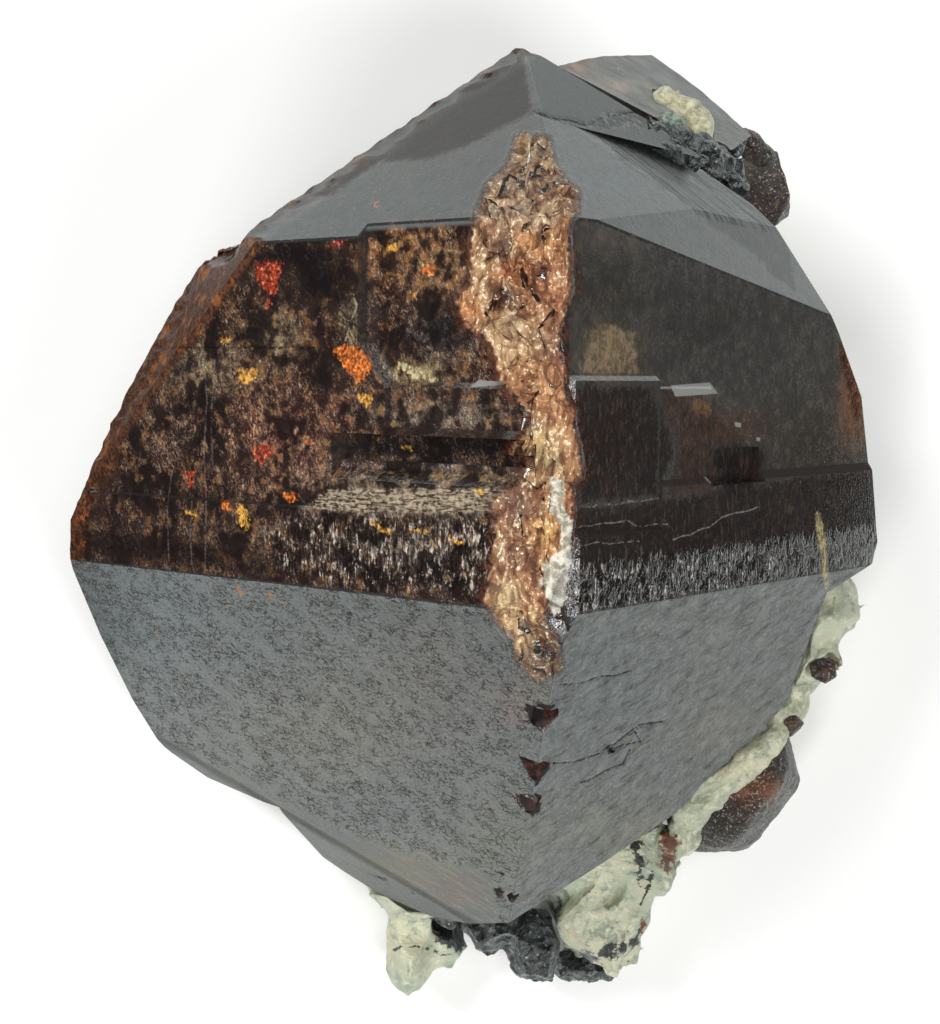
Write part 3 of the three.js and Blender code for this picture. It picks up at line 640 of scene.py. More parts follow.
def finish_piece(piece, nodes, slot, material, angle=16):
    """Shades a piece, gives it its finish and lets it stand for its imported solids."""
    select_only(piece)
    bpy.ops.object.shade_smooth_by_angle(angle=math.radians(angle))
    piece.data.materials.clear()
    piece.data.materials.append(material)
    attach(piece, "root")
    if nodes:
        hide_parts(*nodes)
    piece.visible_glossy = slot == "dark_zircon"


class Field:
    """A shader socket that can stand in sums and products."""

    def __init__(self, recipe, socket):
        self.recipe = recipe
        self.socket = socket

    def maths(self, operation, first, second=0.0):
        return self.recipe.node("ShaderNodeMath", {"operation": operation}, {0: first, 1: second})

    def __add__(self, other):
        return self.maths("ADD", self, other)

    __radd__ = __add__

    def __sub__(self, other):
        return self.maths("SUBTRACT", self, other)

    def __rsub__(self, other):
        return self.maths("SUBTRACT", other, self)

    def __mul__(self, other):
        return self.maths("MULTIPLY", self, other)

    __rmul__ = __mul__

    def __abs__(self):
        return self.maths("ABSOLUTE", self)

    def most(self, other):
        return self.maths("MAXIMUM", self, other)

    def least(self, other):
        return self.maths("MINIMUM", self, other)


class Recipe:
    """The node tree of one finish."""

    def __init__(self, name):
        self.material = bpy.data.materials.new(name)
        self.material.use_nodes = True
        self.tree = self.material.node_tree
        self.tree.nodes.clear()

    def node(self, kind, settings=None, inputs=None, output=0):
        """Adds a node: its settings first, then the values and links of its sockets."""
        made = self.tree.nodes.new(kind)
        for name, value in (settings or {}).items():
            setattr(made, name, value)
        for name, value in (inputs or {}).items():
            if isinstance(value, Field):
                self.tree.links.new(value.socket, made.inputs[name])
            else:
                made.inputs[name].default_value = value
        return Field(self, made.outputs[output]) if len(made.outputs) else None

    def vector(self, operation, first, second=(0, 0, 0), output="Vector"):
        return self.node("ShaderNodeVectorMath", {"operation": operation}, {0: first, 1: second}, output)

    def dot(self, place, direction):
        return self.vector("DOT_PRODUCT", place, tuple(direction), "Value")

    def place(self, middle=(0, 0, 0)):
        """The point on the surface in millimetres, from a middle."""
        metres = self.node("ShaderNodeTexCoord", output="Object")
        mm = self.vector("MULTIPLY", metres, (1000, 1000, 1000))
        return self.vector("SUBTRACT", mm, tuple(middle))

    def stretched(self, right, left, length, sizes):
        """A place in the crystal's own directions, with each divided by a size."""
        return self.node(
            "ShaderNodeCombineXYZ",
            inputs={0: right * (1 / sizes[0]), 1: left * (1 / sizes[1]), 2: length * (1 / sizes[2])},
        )

    def noise(self, place, scale, detail=2.0, roughness=0.5, distortion=0.0, output=0):
        values = {"Vector": place, "Scale": scale, "Detail": detail, "Roughness": roughness}
        return self.node("ShaderNodeTexNoise", inputs={**values, "Distortion": distortion}, output=output)

    def cells(self, place, scale, feature="F1", output="Distance", chaos=1.0):
        values = {"Vector": place, "Scale": scale, "Randomness": chaos}
        return self.node("ShaderNodeTexVoronoi", {"feature": feature}, values, output)

    def step(self, value, low, high):
        """Rises smoothly from 0 at low to 1 at high; low may be the larger."""
        values = {"Value": value, "From Min": low, "From Max": high}
        return self.node("ShaderNodeMapRange", {"interpolation_type": "SMOOTHSTEP"}, values)

    def blend(self, share, first, second, way="MIX"):
        settings = {"data_type": "RGBA", "blend_type": way}
        return self.node("ShaderNodeMix", settings, {0: share, 6: first, 7: second}, 2)

    def painted(self, name, output="Fac"):
        return self.node("ShaderNodeAttribute", {"attribute_name": name}, output=output)

    def bump(self, height, depth, strength=1.0, under=None):
        """Slopes for a height of 0 to 1 that stands for a depth in millimetres."""
        values = {"Height": height, "Distance": depth * MM, "Strength": strength}
        if under is not None:
            values["Normal"] = under
        return self.node("ShaderNodeBump", inputs=values)

    def surface(self, **values):
        """One all-round surface shader."""
        named = {name.replace("_", " "): value for name, value in values.items()}
        return self.node("ShaderNodeBsdfPrincipled", inputs=named)

    def done(self, shader):
        self.node("ShaderNodeOutputMaterial", inputs={"Surface": shader})
        return self.material


def crystal_measures(recipe):
    """Distances right, left and along the large crystal from its centre, in millimetres."""
    place = recipe.place(CENTRE)
    return recipe.dot(place, RIGHT), recipe.dot(place, LEFT), recipe.dot(place, LENGTH)


def dark_zircon_finish(colours):
    """Near-black brown inside with veils and glows, grey etched ends, and a sugary brown break."""
    recipe = Recipe("dark zircon")
    right, left, length = crystal_measures(recipe)
    even = recipe.stretched(right, left, length, (1, 1, 1))

    top = left.most(right) * 0.671 + length * 0.741
    steep = right * 0.898 - left * 0.071 + length * 0.434
    streaked = right * 0.634 - left * 0.065 + length * 0.772
    streaked_end = recipe.step(streaked, *STREAKED_END).most(recipe.step(steep, *STEEP_END))
    upper_end = recipe.step(top, *UPPER_END).most(streaked_end)
    band_face = recipe.step(left * 0.662 - right * 0.13 - length * 0.738, *BAND_FACE)
    lower_end = recipe.step(left.most(right) * 0.829 - length * 0.559, *LOWER_END).most(band_face)
    bevel = recipe.step(left * 0.875 - right * 0.335 + length * 0.35, *LEFT_BEVEL)
    facing = recipe.node("ShaderNodeNewGeometry", output="True Normal")
    ledge = recipe.step(recipe.dot(facing, LENGTH), 0.3, 0.6)
    ends = upper_end.most(lower_end)
    on_right = recipe.step(right - left, -0.2, 0.2)
    # Painted shade: step walls that face sideways across the prism are darkened and dulled.
    shaded_flank = recipe.step(recipe.dot(facing, RIGHT), 0.6, 0.9) * (1 - on_right)
    shaded_flank = shaded_flank.most(recipe.step(recipe.dot(facing, LEFT), 0.6, 0.9) * on_right)

    above_crack = recipe.step(length - left * 0.052, 22.5, 22.8) * on_right

    cloud = recipe.noise(even, 0.42, 2.0, 0.6)
    middling = recipe.noise(even, 0.95, 3.0, 0.65)
    fine_cloud = recipe.noise(even, 1.9, 3.0, 0.65, 0.4)
    grain = recipe.noise(even, 5.0, 2.0, 0.7)
    glow_noise = recipe.noise(even, 3.2, 2.0, 0.6) - 0.5
    slanted = (right + length * 0.7, left, length - right * 0.7)
    threads = recipe.noise(recipe.stretched(*slanted, (0.7, 0.8, 2.2)), 2.6, 2.0, 0.6, 1.0)
    strokes = recipe.noise(recipe.stretched(right, left, length, (0.5, 0.5, 1.5)), 2.6, 2.0, 0.7, 0.6)
    waves = recipe.noise(recipe.stretched(right, left, length, (1.7, 1.7, 0.42)), 3.4, 1.0, 0.6, 0.8)

    darkest = tuple(colours.inside_dark)
    calm = 1 - on_right * 0.8
    veil = recipe.painted("veil")
    veil_colour = recipe.painted("veil_tint", "Color")
    warm_share = recipe.step(fine_cloud, 0.53, 0.62) * calm * 0.5
    veil_colour = recipe.blend(warm_share, veil_colour, tone(184, 126, 64))
    veil_colour = recipe.blend(recipe.step(fine_cloud, 0.46, 0.38) * calm * 0.6, veil_colour, tone(104, 44, 34))
    patchy = recipe.step(middling * 0.6 + cloud * 0.4, 0.44, 0.57)
    glow = (veil * (patchy * (0.95 - on_right * 0.70) + 0.06 + on_right * 0.50)).least(1.0)
    haze = recipe.step(grain * 0.5 + fine_cloud * 0.5, 0.40, 0.60)
    inside = recipe.blend(recipe.step(cloud, 0.35, 0.7), darkest, tuple(colours.inside_brown))
    inside = recipe.blend(on_right * 0.8, inside, tone(44, 46, 44))
    veil_depth = recipe.blend(0.65 - on_right * 0.5, veil_colour, darkest)
    inside = recipe.blend(glow, inside, recipe.blend(haze, veil_depth, veil_colour))
    # Bright specks inside the glows are painted sparkle, light caught by fine cracks inside; the bright hairs are pale
    # fibres in the crystal.
    bright = recipe.blend(0.6, veil_colour, tone(240, 226, 196))
    inside = recipe.blend(recipe.step(grain, 0.61, 0.69) * glow * patchy * calm, inside, bright)
    hairs = recipe.step(abs(threads - 0.5), 0.022, 0.004)
    inside = recipe.blend(hairs * glow * calm * 0.8, inside, bright)
    patch = recipe.step(recipe.painted("patch") + (middling - 0.5) * 1.8 + glow_noise * 1.2, -0.25, 0.35)
    patch_colour = recipe.painted("patch_tint", "Color")
    patch_colour = recipe.blend(haze, recipe.blend(0.6, patch_colour, darkest), patch_colour)
    patch_colour = recipe.blend(recipe.step(strokes, 0.54, 0.64) * on_right * 0.45, patch_colour, tone(104, 82, 68))
    inside = recipe.blend(patch * 0.72, inside, patch_colour)

    etched = recipe.step(recipe.painted("etched") + (fine_cloud - 0.5) * 1.2, -0.1, 0.5)
    crests = recipe.step(waves * 0.7 + grain * 0.3, 0.41, 0.59)
    wave_colour = recipe.blend(crests, tone(70, 54, 44), tone(186, 172, 146))
    inside = recipe.blend(etched * (0.55 + haze * 0.35), inside, wave_colour)
    # White strokes with dark between: on the left they are whitish marks in the crystal, and on the wrinkled foot at
    # the right they are painted glints.
    clustered = recipe.step(fine_cloud * 0.5 + middling * 0.5, 0.44, 0.56)
    marks = recipe.painted("marks") * clustered
    mark_colour = recipe.blend(haze, tone(120, 104, 92), tone(222, 218, 210))
    inside = recipe.blend(marks * recipe.step(strokes + grain * 0.3, 0.70, 0.80) * 0.8, inside, mark_colour)
    between_marks = recipe.painted("marks") * recipe.step(strokes, 0.52, 0.44)
    inside = recipe.blend(between_marks * 0.8, inside, tone(14, 10, 10))

    flash = recipe.step(recipe.painted("flash_depth") + glow_noise * 2.2, 0.0, 0.35) * (0.35 + haze * 0.65)
    flash_colour = recipe.painted("flash_tint", "Color")
    deep_flash = recipe.blend(0.72, flash_colour, tone(84, 30, 16))
    light_flash = recipe.blend(recipe.step(grain, 0.56, 0.66) * 0.45, flash_colour, tone(255, 214, 150))
    inside = recipe.blend(flash, inside, recipe.blend(recipe.step(grain, 0.38, 0.54), deep_flash, light_flash))
    # Pale lines: painted highlights along the ledge edges on the right, and pale hairline cracks on the left.
    pale_line = recipe.step(recipe.painted("pale_line") + glow_noise * 1.4, 0.45, 0.95)
    inside = recipe.blend(pale_line * (0.25 + on_right * 0.35), inside, tone(150, 142, 136))
    feather = recipe.step(recipe.painted("feather") + glow_noise * 0.8, 0.30, 0.80)
    inside = recipe.blend(feather * haze * 0.5, inside, tone(196, 190, 150))
    cream = recipe.step(recipe.painted("cream") + glow_noise * 0.8, -0.1, 0.4)
    # Painted highlights: the small faces in GLINTS are laid over with pale grey.
    inside = recipe.blend(recipe.step(recipe.painted("glint"), 0.0, 0.3) * 0.9, inside, tone(150, 150, 146))

    rim = recipe.painted("rim")
    amber = recipe.blend(recipe.step(threads * 0.5 + grain * 0.5, 0.40, 0.60), tone(40, 24, 19), tone(96, 58, 36))
    amber = recipe.blend(recipe.step(middling, 0.52, 0.64) * haze * 0.8, amber, tone(150, 90, 42))
    inside = recipe.blend(recipe.step(rim + glow_noise * 0.8, 0.1, 0.9), inside, amber)

    up = right * 0.633 - left * 0.065 + length * 0.771
    across = right * 0.299 + left * 0.939 - length * 0.167
    along = right * 0.714 - left * 0.336 - length * 0.614
    lines = recipe.noise(recipe.stretched(across, up, along, (0.22, 1, 3.5)), 1.0, 2.0, 0.6)
    low_across = right * 0.509 + left * 0.415 + length * 0.754
    low_along = right * -0.232 + left * 0.910 + length * -0.344
    low_lines = recipe.noise(recipe.stretched(low_across, right - left, low_along, (0.3, 2, 3)), 1.0, 2.0, 0.6)
    worms = etch_lines(recipe, right.least(left), right.most(left), length, middling, threads)
    worms = worms * lower_end * (1 - on_right * 0.35)
    soiled = recipe.step(fine_cloud * 0.6 + grain * 0.4, 0.51, 0.58) * above_crack * upper_end
    scored = recipe.step(lines, 0.48, 0.60) * recipe.step(streaked, 22.62, 22.72) * (1 - above_crack)
    tip = recipe.step(recipe.painted("tip") + glow_noise * 0.8, -0.3, 0.6) * upper_end
    band = recipe.painted("band")
    worms = worms * (1 - band)
    end_tint = recipe.painted("end_tint", "Color")
    end_dark = recipe.blend(recipe.step(cloud, 0.4, 0.7) * 0.4, end_tint, tone(34, 36, 38))
    end_dark = recipe.blend(recipe.step(middling, 0.58, 0.70) * 0.6, end_dark, tone(104, 88, 70))
    end_dark = recipe.blend(recipe.step(grain, 0.60, 0.70) * 0.45, end_dark, tone(150, 140, 120))
    streaked_places = band.most(on_right * recipe.step(fine_cloud, 0.4, 0.6) * 0.7)
    streaky = recipe.step(low_lines, 0.48, 0.62) * lower_end * streaked_places
    end_dark = recipe.blend(streaky * 0.45, end_dark, tone(120, 104, 74))
    end_colour = recipe.blend(tip * 0.6, end_dark, tone(70, 52, 40))
    end_rim = recipe.step(rim + glow_noise * 0.8, 0.15, 1.0)
    end_colour = recipe.blend(end_rim * 0.8, end_colour, amber)
    end_colour = recipe.blend(flash * 0.9, end_colour, flash_colour)
    # Painted shade on the ledges inside the SHADED outlines: a dark brown laid over the prism colour.
    shade = recipe.painted("shade") * ledge
    inside = recipe.blend(shade * 0.7, inside, tone(34, 24, 22))
    # Painted shade on the sideways step walls: dark brown with a tan haze.
    inside = recipe.blend(shaded_flank * 0.85, inside, recipe.blend(haze, tone(14, 10, 10), tone(52, 36, 28)))
    # Painted light: everything off the ends beyond 17.8 mm along the crystal, which takes in the crack wall lying in
    # shadow under the upper plate, is painted pale grey.
    painted_wall_light = recipe.step(length, 17.5, 17.8) * (1 - ends)
    inside = recipe.blend(painted_wall_light, inside, tone(112, 115, 113))
    base = recipe.blend(ends, inside, end_colour)
    base = recipe.blend(cream * 0.7, base, recipe.blend(haze, tone(120, 100, 70), tone(214, 200, 150)))
    halo = recipe.step(recipe.painted("break_depth") + glow_noise * 2.2, -1.6, -0.2) * (1 - ends * 0.75)
    worn = recipe.painted("worn")
    bruised = recipe.blend(recipe.step(threads, 0.42, 0.58), tone(30, 14, 12), tone(120, 62, 34))
    base = recipe.blend(halo * 0.6, base, bruised)

    sugar = recipe.step(recipe.painted("break_depth") + glow_noise * 1.2, -0.42, -0.05)
    sheets = recipe.noise(recipe.stretched(right, left, length, (0.8, 0.8, 1.5)), 1.3, 3.0, 0.6, 1.2)
    base = recipe.blend(sugar, base, sugary_brown(recipe, grain, fine_cloud, sheets))
    pale = recipe.step(recipe.painted("pale_depth") + glow_noise * 1.2, 0.0, 0.3)
    chalk = recipe.blend(recipe.step(fine_cloud, 0.4, 0.6), tone(140, 136, 120), tone(220, 218, 204))
    base = recipe.blend(pale * 0.9, base, chalk)
    crack = recipe.step(recipe.painted("crack") + glow_noise * 1.6, 0.35, 0.9)
    speckled = recipe.step(recipe.painted("speckle") + (grain - 0.5) * 3.0, 0.1, 0.5)
    speckles = recipe.blend(recipe.step(fine_cloud, 0.48, 0.56), tone(20, 22, 22), tone(168, 172, 162))
    base = recipe.blend(speckled, base, speckles)
    pit = recipe.step(recipe.painted("pit") + glow_noise * 1.6, 0.05, 0.45)
    base = recipe.blend(pit, base, recipe.blend(recipe.step(grain, 0.4, 0.6), tone(30, 15, 14), tone(72, 34, 28)))

    broken = recipe.step(recipe.painted("break_depth"), -0.8, -0.2)
    wrinkles = strokes * (clustered * 0.06 + 0.02) + fine_cloud * 0.08
    relief = grain * (broken * 0.30 + 0.02) + wrinkles * recipe.painted("wrinkled")
    normal = recipe.bump(relief, 1.0)
    rough = haze * 0.10 + 0.07 + ends * 0.08 + sugar.most(pit) * 0.4 + pale * 0.35 + painted_wall_light * 0.4
    shader = recipe.surface(Base_Color=base, Roughness=rough, IOR=1.95, Normal=normal)
    end_flash = flash * lower_end
    brown_dull = bevel.most(shaded_flank).most(halo).most(worn).most(cream).most(end_flash)
    # A rough, matt surface mixed in where the crystal is dulled: dark in most places, but keeping the base colour on
    # the dulled brown places and on the ledges with painted shade.
    grime_and_shade_colour = recipe.blend(brown_dull.most(shade), tone(20, 20, 20), base)
    grime_and_shade = recipe.surface(Base_Color=grime_and_shade_colour, Roughness=0.9, IOR=1.3)
    leather = ends * (recipe.step(fine_cloud, 0.44, 0.32) * 0.22 + recipe.step(grain, 0.48, 0.38) * 0.16)
    streaked_facet = recipe.step(recipe.painted("streaked_facet") + (middling - 0.5) * 1.2, -0.2, 0.3) * upper_end
    streaked_dull = streaked_facet * (scored * 0.25 + 0.40)
    fine_streaks = recipe.step(low_lines, 0.44, 0.60) * recipe.step(middling, 0.42, 0.58)
    pores = (1 - haze) * 0.20 + recipe.step(fine_cloud, 0.56, 0.40) * 0.16
    right_dull = lower_end * on_right * (0.14 + pores + fine_streaks * 0.30)
    dull = (worms * 0.9).most(crack * 0.9).most(soiled * 0.3).most(scored * 0.2).most(tip * 0.58)
    dull = dull.most(leather).most(shade * 0.98).most(band * 0.2).most(band_face * 0.55).most(speckled * 0.6)
    dull = dull.most(upper_end * (haze * 0.08 + 0.19)).most(above_crack * upper_end * 0.45).most(pit * 0.9)
    dull = dull.most(painted_wall_light * 0.3).most(streaked_dull).most(right_dull)
    dull = dull.most(brown_dull * 0.85).most(worn)
    return recipe.done(recipe.node("ShaderNodeMixShader", inputs={0: dull, 1: shader, 2: grime_and_shade}))


# How fast the etched ripples follow each other down the lower ends, in radians a millimetre.
RIPPLE_PACE = 13.0


def etch_lines(recipe, far, near, length, middling, threads):
    """Fine dark ripples and a few longer cracks on the lower ends: 1 on a line, 0 off it."""
    across = far * 0.998 + near * 0.040 + length * 0.059
    down = far * -0.070 + near * 0.558 + length * 0.827
    ripples = recipe.noise(recipe.stretched(across, down, far + near, (1.0, 0.7, 1.2)), 1.7, 2.0, 0.6)
    phase = down * RIPPLE_PACE + ripples * 26.0
    line = recipe.step(phase.maths("SINE", phase), 0.40, 0.92) * recipe.step(middling, 0.34, 0.52)
    knots = recipe.step(abs(ripples - 0.46), 0.030, 0.008) * recipe.step(middling, 0.46, 0.56)
    long_cracks = recipe.step(abs(threads - 0.47), 0.014, 0.004) * recipe.step(middling, 0.50, 0.58)
    return (line * 0.8).most(knots).most(long_cracks)


def sugary_brown(recipe, grain, fine_cloud, sheets):
    """Broken grains in honey, cream and dark red browns, after the colour painted on the surface."""
    tint = recipe.blend(0.18, recipe.painted("break_tint", "Color"), tone(150, 142, 122))
    deep = recipe.blend(0.75, tint, tone(56, 20, 14))
    dark = recipe.blend(0.55, tint, tone(100, 52, 34))
    light = recipe.blend(0.50, tint, tone(250, 228, 182))
    colour = recipe.blend(recipe.step(sheets, 0.37, 0.45), deep, dark)
    colour = recipe.blend(recipe.step(sheets * 0.6 + fine_cloud * 0.4, 0.44, 0.53), colour, tint)
    colour = recipe.blend(recipe.step(grain * 0.45 + sheets * 0.55, 0.52, 0.61), colour, light)
    seams = recipe.step(abs(sheets - 0.47), 0.014, 0.004)
    colour = recipe.blend(seams * 0.35, colour, tone(90, 38, 22))
    return recipe.blend(recipe.step(grain, 0.60, 0.68) * recipe.step(sheets, 0.46, 0.54), colour, tone(255, 244, 220))


class ZirconSizes(bpy.types.PropertyGroup):
    """Sizes of the crystal's relief."""

    facet_spacing: FloatProperty(
        name="Crystal mesh spacing", description="Longest edge on the large crystal, in mm", default=0.50, min=0.2
    )
    break_depth: FloatProperty(
        name="Break depth", description="How deep the sugary front break is hollowed, in mm", default=1.1, min=0.0
    )
    rock_spacing: FloatProperty(
        name="Rock mesh spacing", description="Longest edge on the feldspar, in mm", default=0.42, min=0.2
    )


class ZirconColours(bpy.types.PropertyGroup):
    """Colours of the minerals."""

    inside_dark: FloatVectorProperty(
        name="Crystal dark", description="Darkest brown inside the large crystal", subtype="COLOR",
        size=4, default=tone(24, 17, 17), min=0, max=1,
    )
    inside_brown: FloatVectorProperty(
        name="Crystal brown", description="Lighter brown inside the large crystal", subtype="COLOR",
        size=4, default=tone(46, 34, 31), min=0, max=1,
    )
    feldspar: FloatVectorProperty(
        name="Feldspar", description="Main greenish white of the feldspar", subtype="COLOR",
        size=4, default=tone(170, 180, 157), min=0, max=1,
    )
    mica: FloatVectorProperty(
        name="Mica", description="Black of the mica flakes", subtype="COLOR",
        size=4, default=tone(34, 38, 38), min=0, max=1,
    )


def nearest_outline(places, outlines, reach):
    """For each place, how deep it lies in the nearest outline, in steps of reach, and that outline's colour."""
    depth = np.full(len(places), -1e9)
    colour = np.zeros((len(places), 4))
    for tint, corners in outlines:
        found = outline_depth(places, corners)
        nearer = found > depth
        depth = np.where(nearer, found, depth)
        colour[nearer] = tint
    return np.clip(depth / reach, -1, 1), colour


def paint_large_crystal(piece):
    """Stores where the breaks, glows, dust and wrinkles lie on the large crystal."""
    points = millimetres(piece.data)
    places = picture_places(points)
    seen = facing_up(piece.data)
    right, left, length = crystal_places(points)

    def from_above(depth, reach, lowest=-1):
        """A depth in steps of reach, only where the camera sees the surface."""
        return np.where(seen > SEEN_ENOUGH, np.clip(depth / reach, lowest, 1), lowest)

    paint(piece, "break_depth", from_above(depth_in_any(places, BREAKS), 10, -3))
    paint(piece, "pale_depth", from_above(outline_depth(places, PALE_STREAK), 8))
    flash, flash_tint = nearest_outline(places, FLASHES, 8)
    paint(piece, "flash_depth", from_above(flash, 1))
    paint_colours(piece, "flash_tint", flash_tint)
    plain_veil = np.where((right > left)[:, None], (*tone(92, 93, 91), 0.6), (*tone(86, 50, 38), 0.45))
    veils = blended(places, VEILS, plain_veil)
    paint(piece, "veil", veils[:, 4] * seen + 0.3 * (1 - seen))
    paint_colours(piece, "veil_tint", veils[:, :4])
    paint_colours(piece, "break_tint", blended(places, BREAK_TINTS, tone(172, 116, 72)))
    paint_colours(piece, "end_tint", blended(places, END_TINTS, tone(54, 56, 54)))
    paint(piece, "shade", soft_step(depth_in_any(places, SHADED), -3, 3) * seen)
    paint(piece, "band", soft_step(outline_depth(places, LOWER_BAND), -4, 4))
    paint(piece, "glint", from_above(depth_in_any(places, GLINTS), 3))
    paint(piece, "speckle", np.clip(outline_depth(places, SPECKLED) / 8, -1, 1))
    patch, patch_tint = nearest_outline(places, PATCHES, 14)
    paint(piece, "patch", from_above(patch, 1))
    paint_colours(piece, "patch_tint", patch_tint)
    paint(piece, "tip", from_above(outline_depth(places, TIP_STAIN), 12))
    paint(piece, "crack", line_marks(places, CRACKS, 2.4) * seen)
    paint(piece, "pale_line", line_marks(places, PALE_LINES, 2.0) * seen)
    paint(piece, "feather", line_marks(places, FEATHER, 1.8) * seen)
    paint(piece, "cream", from_above(outline_depth(places, CREAM_STREAK), 6))
    paint(piece, "streaked_facet", np.clip(outline_depth(places, STREAKED_FACET) / 16, -1, 1))
    paint(piece, "worn", worn_corner(places))
    paint(piece, "pit", from_above(depth_in_any(places, PITS), 6))
    paint(piece, "marks", soft_step(depth_in_any(places, (WHITE_MARKS, PINCHED_FOOT)), -8, 10) * seen)
    paint(piece, "etched", from_above(outline_depth(places, ETCHED_TREAD), 8))
    rim = 1 - line_distance(places, LEFT_RIM, closed=False) / 24
    facet = soft_step(-0.335 * right + 0.875 * left + 0.35 * length, *LEFT_BEVEL)
    edge = np.clip(outline_depth(places, RIGHT_RIM) / 8 + 0.3, 0, 1)
    paint(piece, "rim", np.clip(np.maximum(np.maximum(rim, facet), edge), 0, 1))
    paint(piece, "wrinkled", wrinkled_share(places, right, left, length))


def worn_corner(places):
    """How worn the corner is where the upper end, the prism and the left bevel meet."""
    return np.exp(-(((places[:, 0] - 212) / 22) ** 2 + ((places[:, 1] - 246) / 16) ** 2))


def line_marks(places, lines, width):
    """1 on any of the lines, falling to 0 at a width in pixels."""
    nearest = np.min([line_distance(places, line, closed=False) for line in lines], axis=0)
    return np.clip(1 - nearest / width, 0, 1)


def blended(places, table, start):
    """Values that change from a start towards those of each row of a table around its middle."""
    values = np.array(start, float) * np.ones((len(places), 1))
    for across, down, half_width, half_height, *goal in table:
        away = ((places[:, 0] - across) / half_width) ** 2 + ((places[:, 1] - down) / half_height) ** 2
        values += (np.hstack(goal) - values) * np.exp(-away * 0.85)[:, None]
    return values


def wrinkled_share(places, right, left, length):
    """Where the foot of the prism is wrinkled: right of the break, and a shorter stretch left of it."""
    foot = soft_step(-length, -2.7, -1.7) * soft_step(length, -0.3, 0.15)
    across = places[:, 0]
    return foot * np.where(right > left, 1.0, soft_step(across, 330, 400) * 0.6)


class OBJECT_OT_large_crystal(bpy.types.Operator):
    """Shapes and colours the large zircon"""

    bl_idname = "zircon.large_crystal"
    bl_label = "Large crystal"

    def execute(self, context):
        sizes = context.scene.zircon_sizes
        piece = copy_of_solid("main_zircon", "large_crystal")

        def spacing(middles):
            hidden = soft_step(-middles[:, 2], -15, -11)
            places = picture_places(middles)
            fine = line_marks(places, CRACKS + PALE_LINES + FEATHER + PITS + GLINTS, 4) > 0
            broken = depth_in_any(places, BREAKS) > -6
            flashes = nearest_outline(places, FLASHES, 4)[0] > -1
            share = np.where(fine, 0.30, np.where(broken | flashes, 0.6, 1))
            return sizes.facet_spacing * (1 + hidden * 3) * np.where(hidden > 0, 1, share)

        refine(piece, spacing, 11)
        paint_large_crystal(piece)
        points = millimetres(piece.data)
        places = picture_places(points)
        seen = facing_up(piece.data)
        right, left, length = crystal_places(points)
        weigh(piece, "break", soft_step(depth_in_any(places, BREAKS), -4, 10) * seen)
        weigh(piece, "wrinkles", wrinkled_share(places, right, left, length) * seen)
        weigh(piece, "edge", soft_step(-line_distance(places, LEFT_RIM, closed=False), -20, -4))
        weigh(piece, "corner", worn_corner(places))
        displace(piece, "worn corner", "CLOUDS", {"noise_scale": 5.0}, 0.9, "corner", 1.2)
        weigh(piece, "cracks", line_marks(places, CRACKS, 3) * seen)
        grains = {"noise_scale": 1.3, "noise_depth": 4}
        displace(piece, "hollows", "CLOUDS", grains, sizes.break_depth, "break", 0.68, (1, 1, 1.5))
        crumbs = {"noise_scale": 0.45, "noise_depth": 2}
        displace(piece, "crumbs", "CLOUDS", crumbs, sizes.break_depth * 0.3, "break", 0.6, (1, 1, 1.4))
        displace(piece, "crack grooves", "CLOUDS", {"noise_scale": 5.0}, -0.12, "cracks", 0.0)
        folds = {"noise_scale": 0.7, "noise_depth": 2}
        displace(piece, "folds", "CLOUDS", folds, 0.08, "wrinkles", 0.65, (0.7, 0.7, 2.0))
        steps = {"noise_scale": 0.7, "noise_depth": 1}
        displace(piece, "edge steps", "CLOUDS", steps, 0.35, "edge", 0.8, (2.5, 2.5, 0.8))
        finish_piece(piece, ["main_zircon"], "dark_zircon", dark_zircon_finish(context.scene.zircon_colours))
        return {"FINISHED"}


def grey_zircon_finish(colours):
    """Grey-brown, half clear zircon of the neighbour."""
    recipe = Recipe("grey zircon")
    place = recipe.place()
    cloud = recipe.noise(place, 0.5, 4.0, 0.6)
    fine = recipe.noise(place, 2.4, 4.0, 0.65, 0.4)
    tint = recipe.painted("tint", "Color")
    colour = recipe.blend(recipe.step(cloud, 0.35, 0.65) * 0.5, tint, tone(48, 46, 42))
    colour = recipe.blend(recipe.step(fine, 0.55, 0.70) * 0.6, colour, recipe.blend(0.5, tint, tone(150, 128, 100)))
    colour = recipe.blend(recipe.step(fine, 0.42, 0.32) * 0.8, colour, tone(30, 30, 28))
    normal = recipe.bump(recipe.noise(place, 6.0, 3.0, 0.65), 0.05)
    rough = recipe.step(cloud, 0.3, 0.7) * 0.12 + 0.12
    return recipe.done(recipe.surface(Base_Color=colour, Roughness=rough, IOR=1.95, Normal=normal))


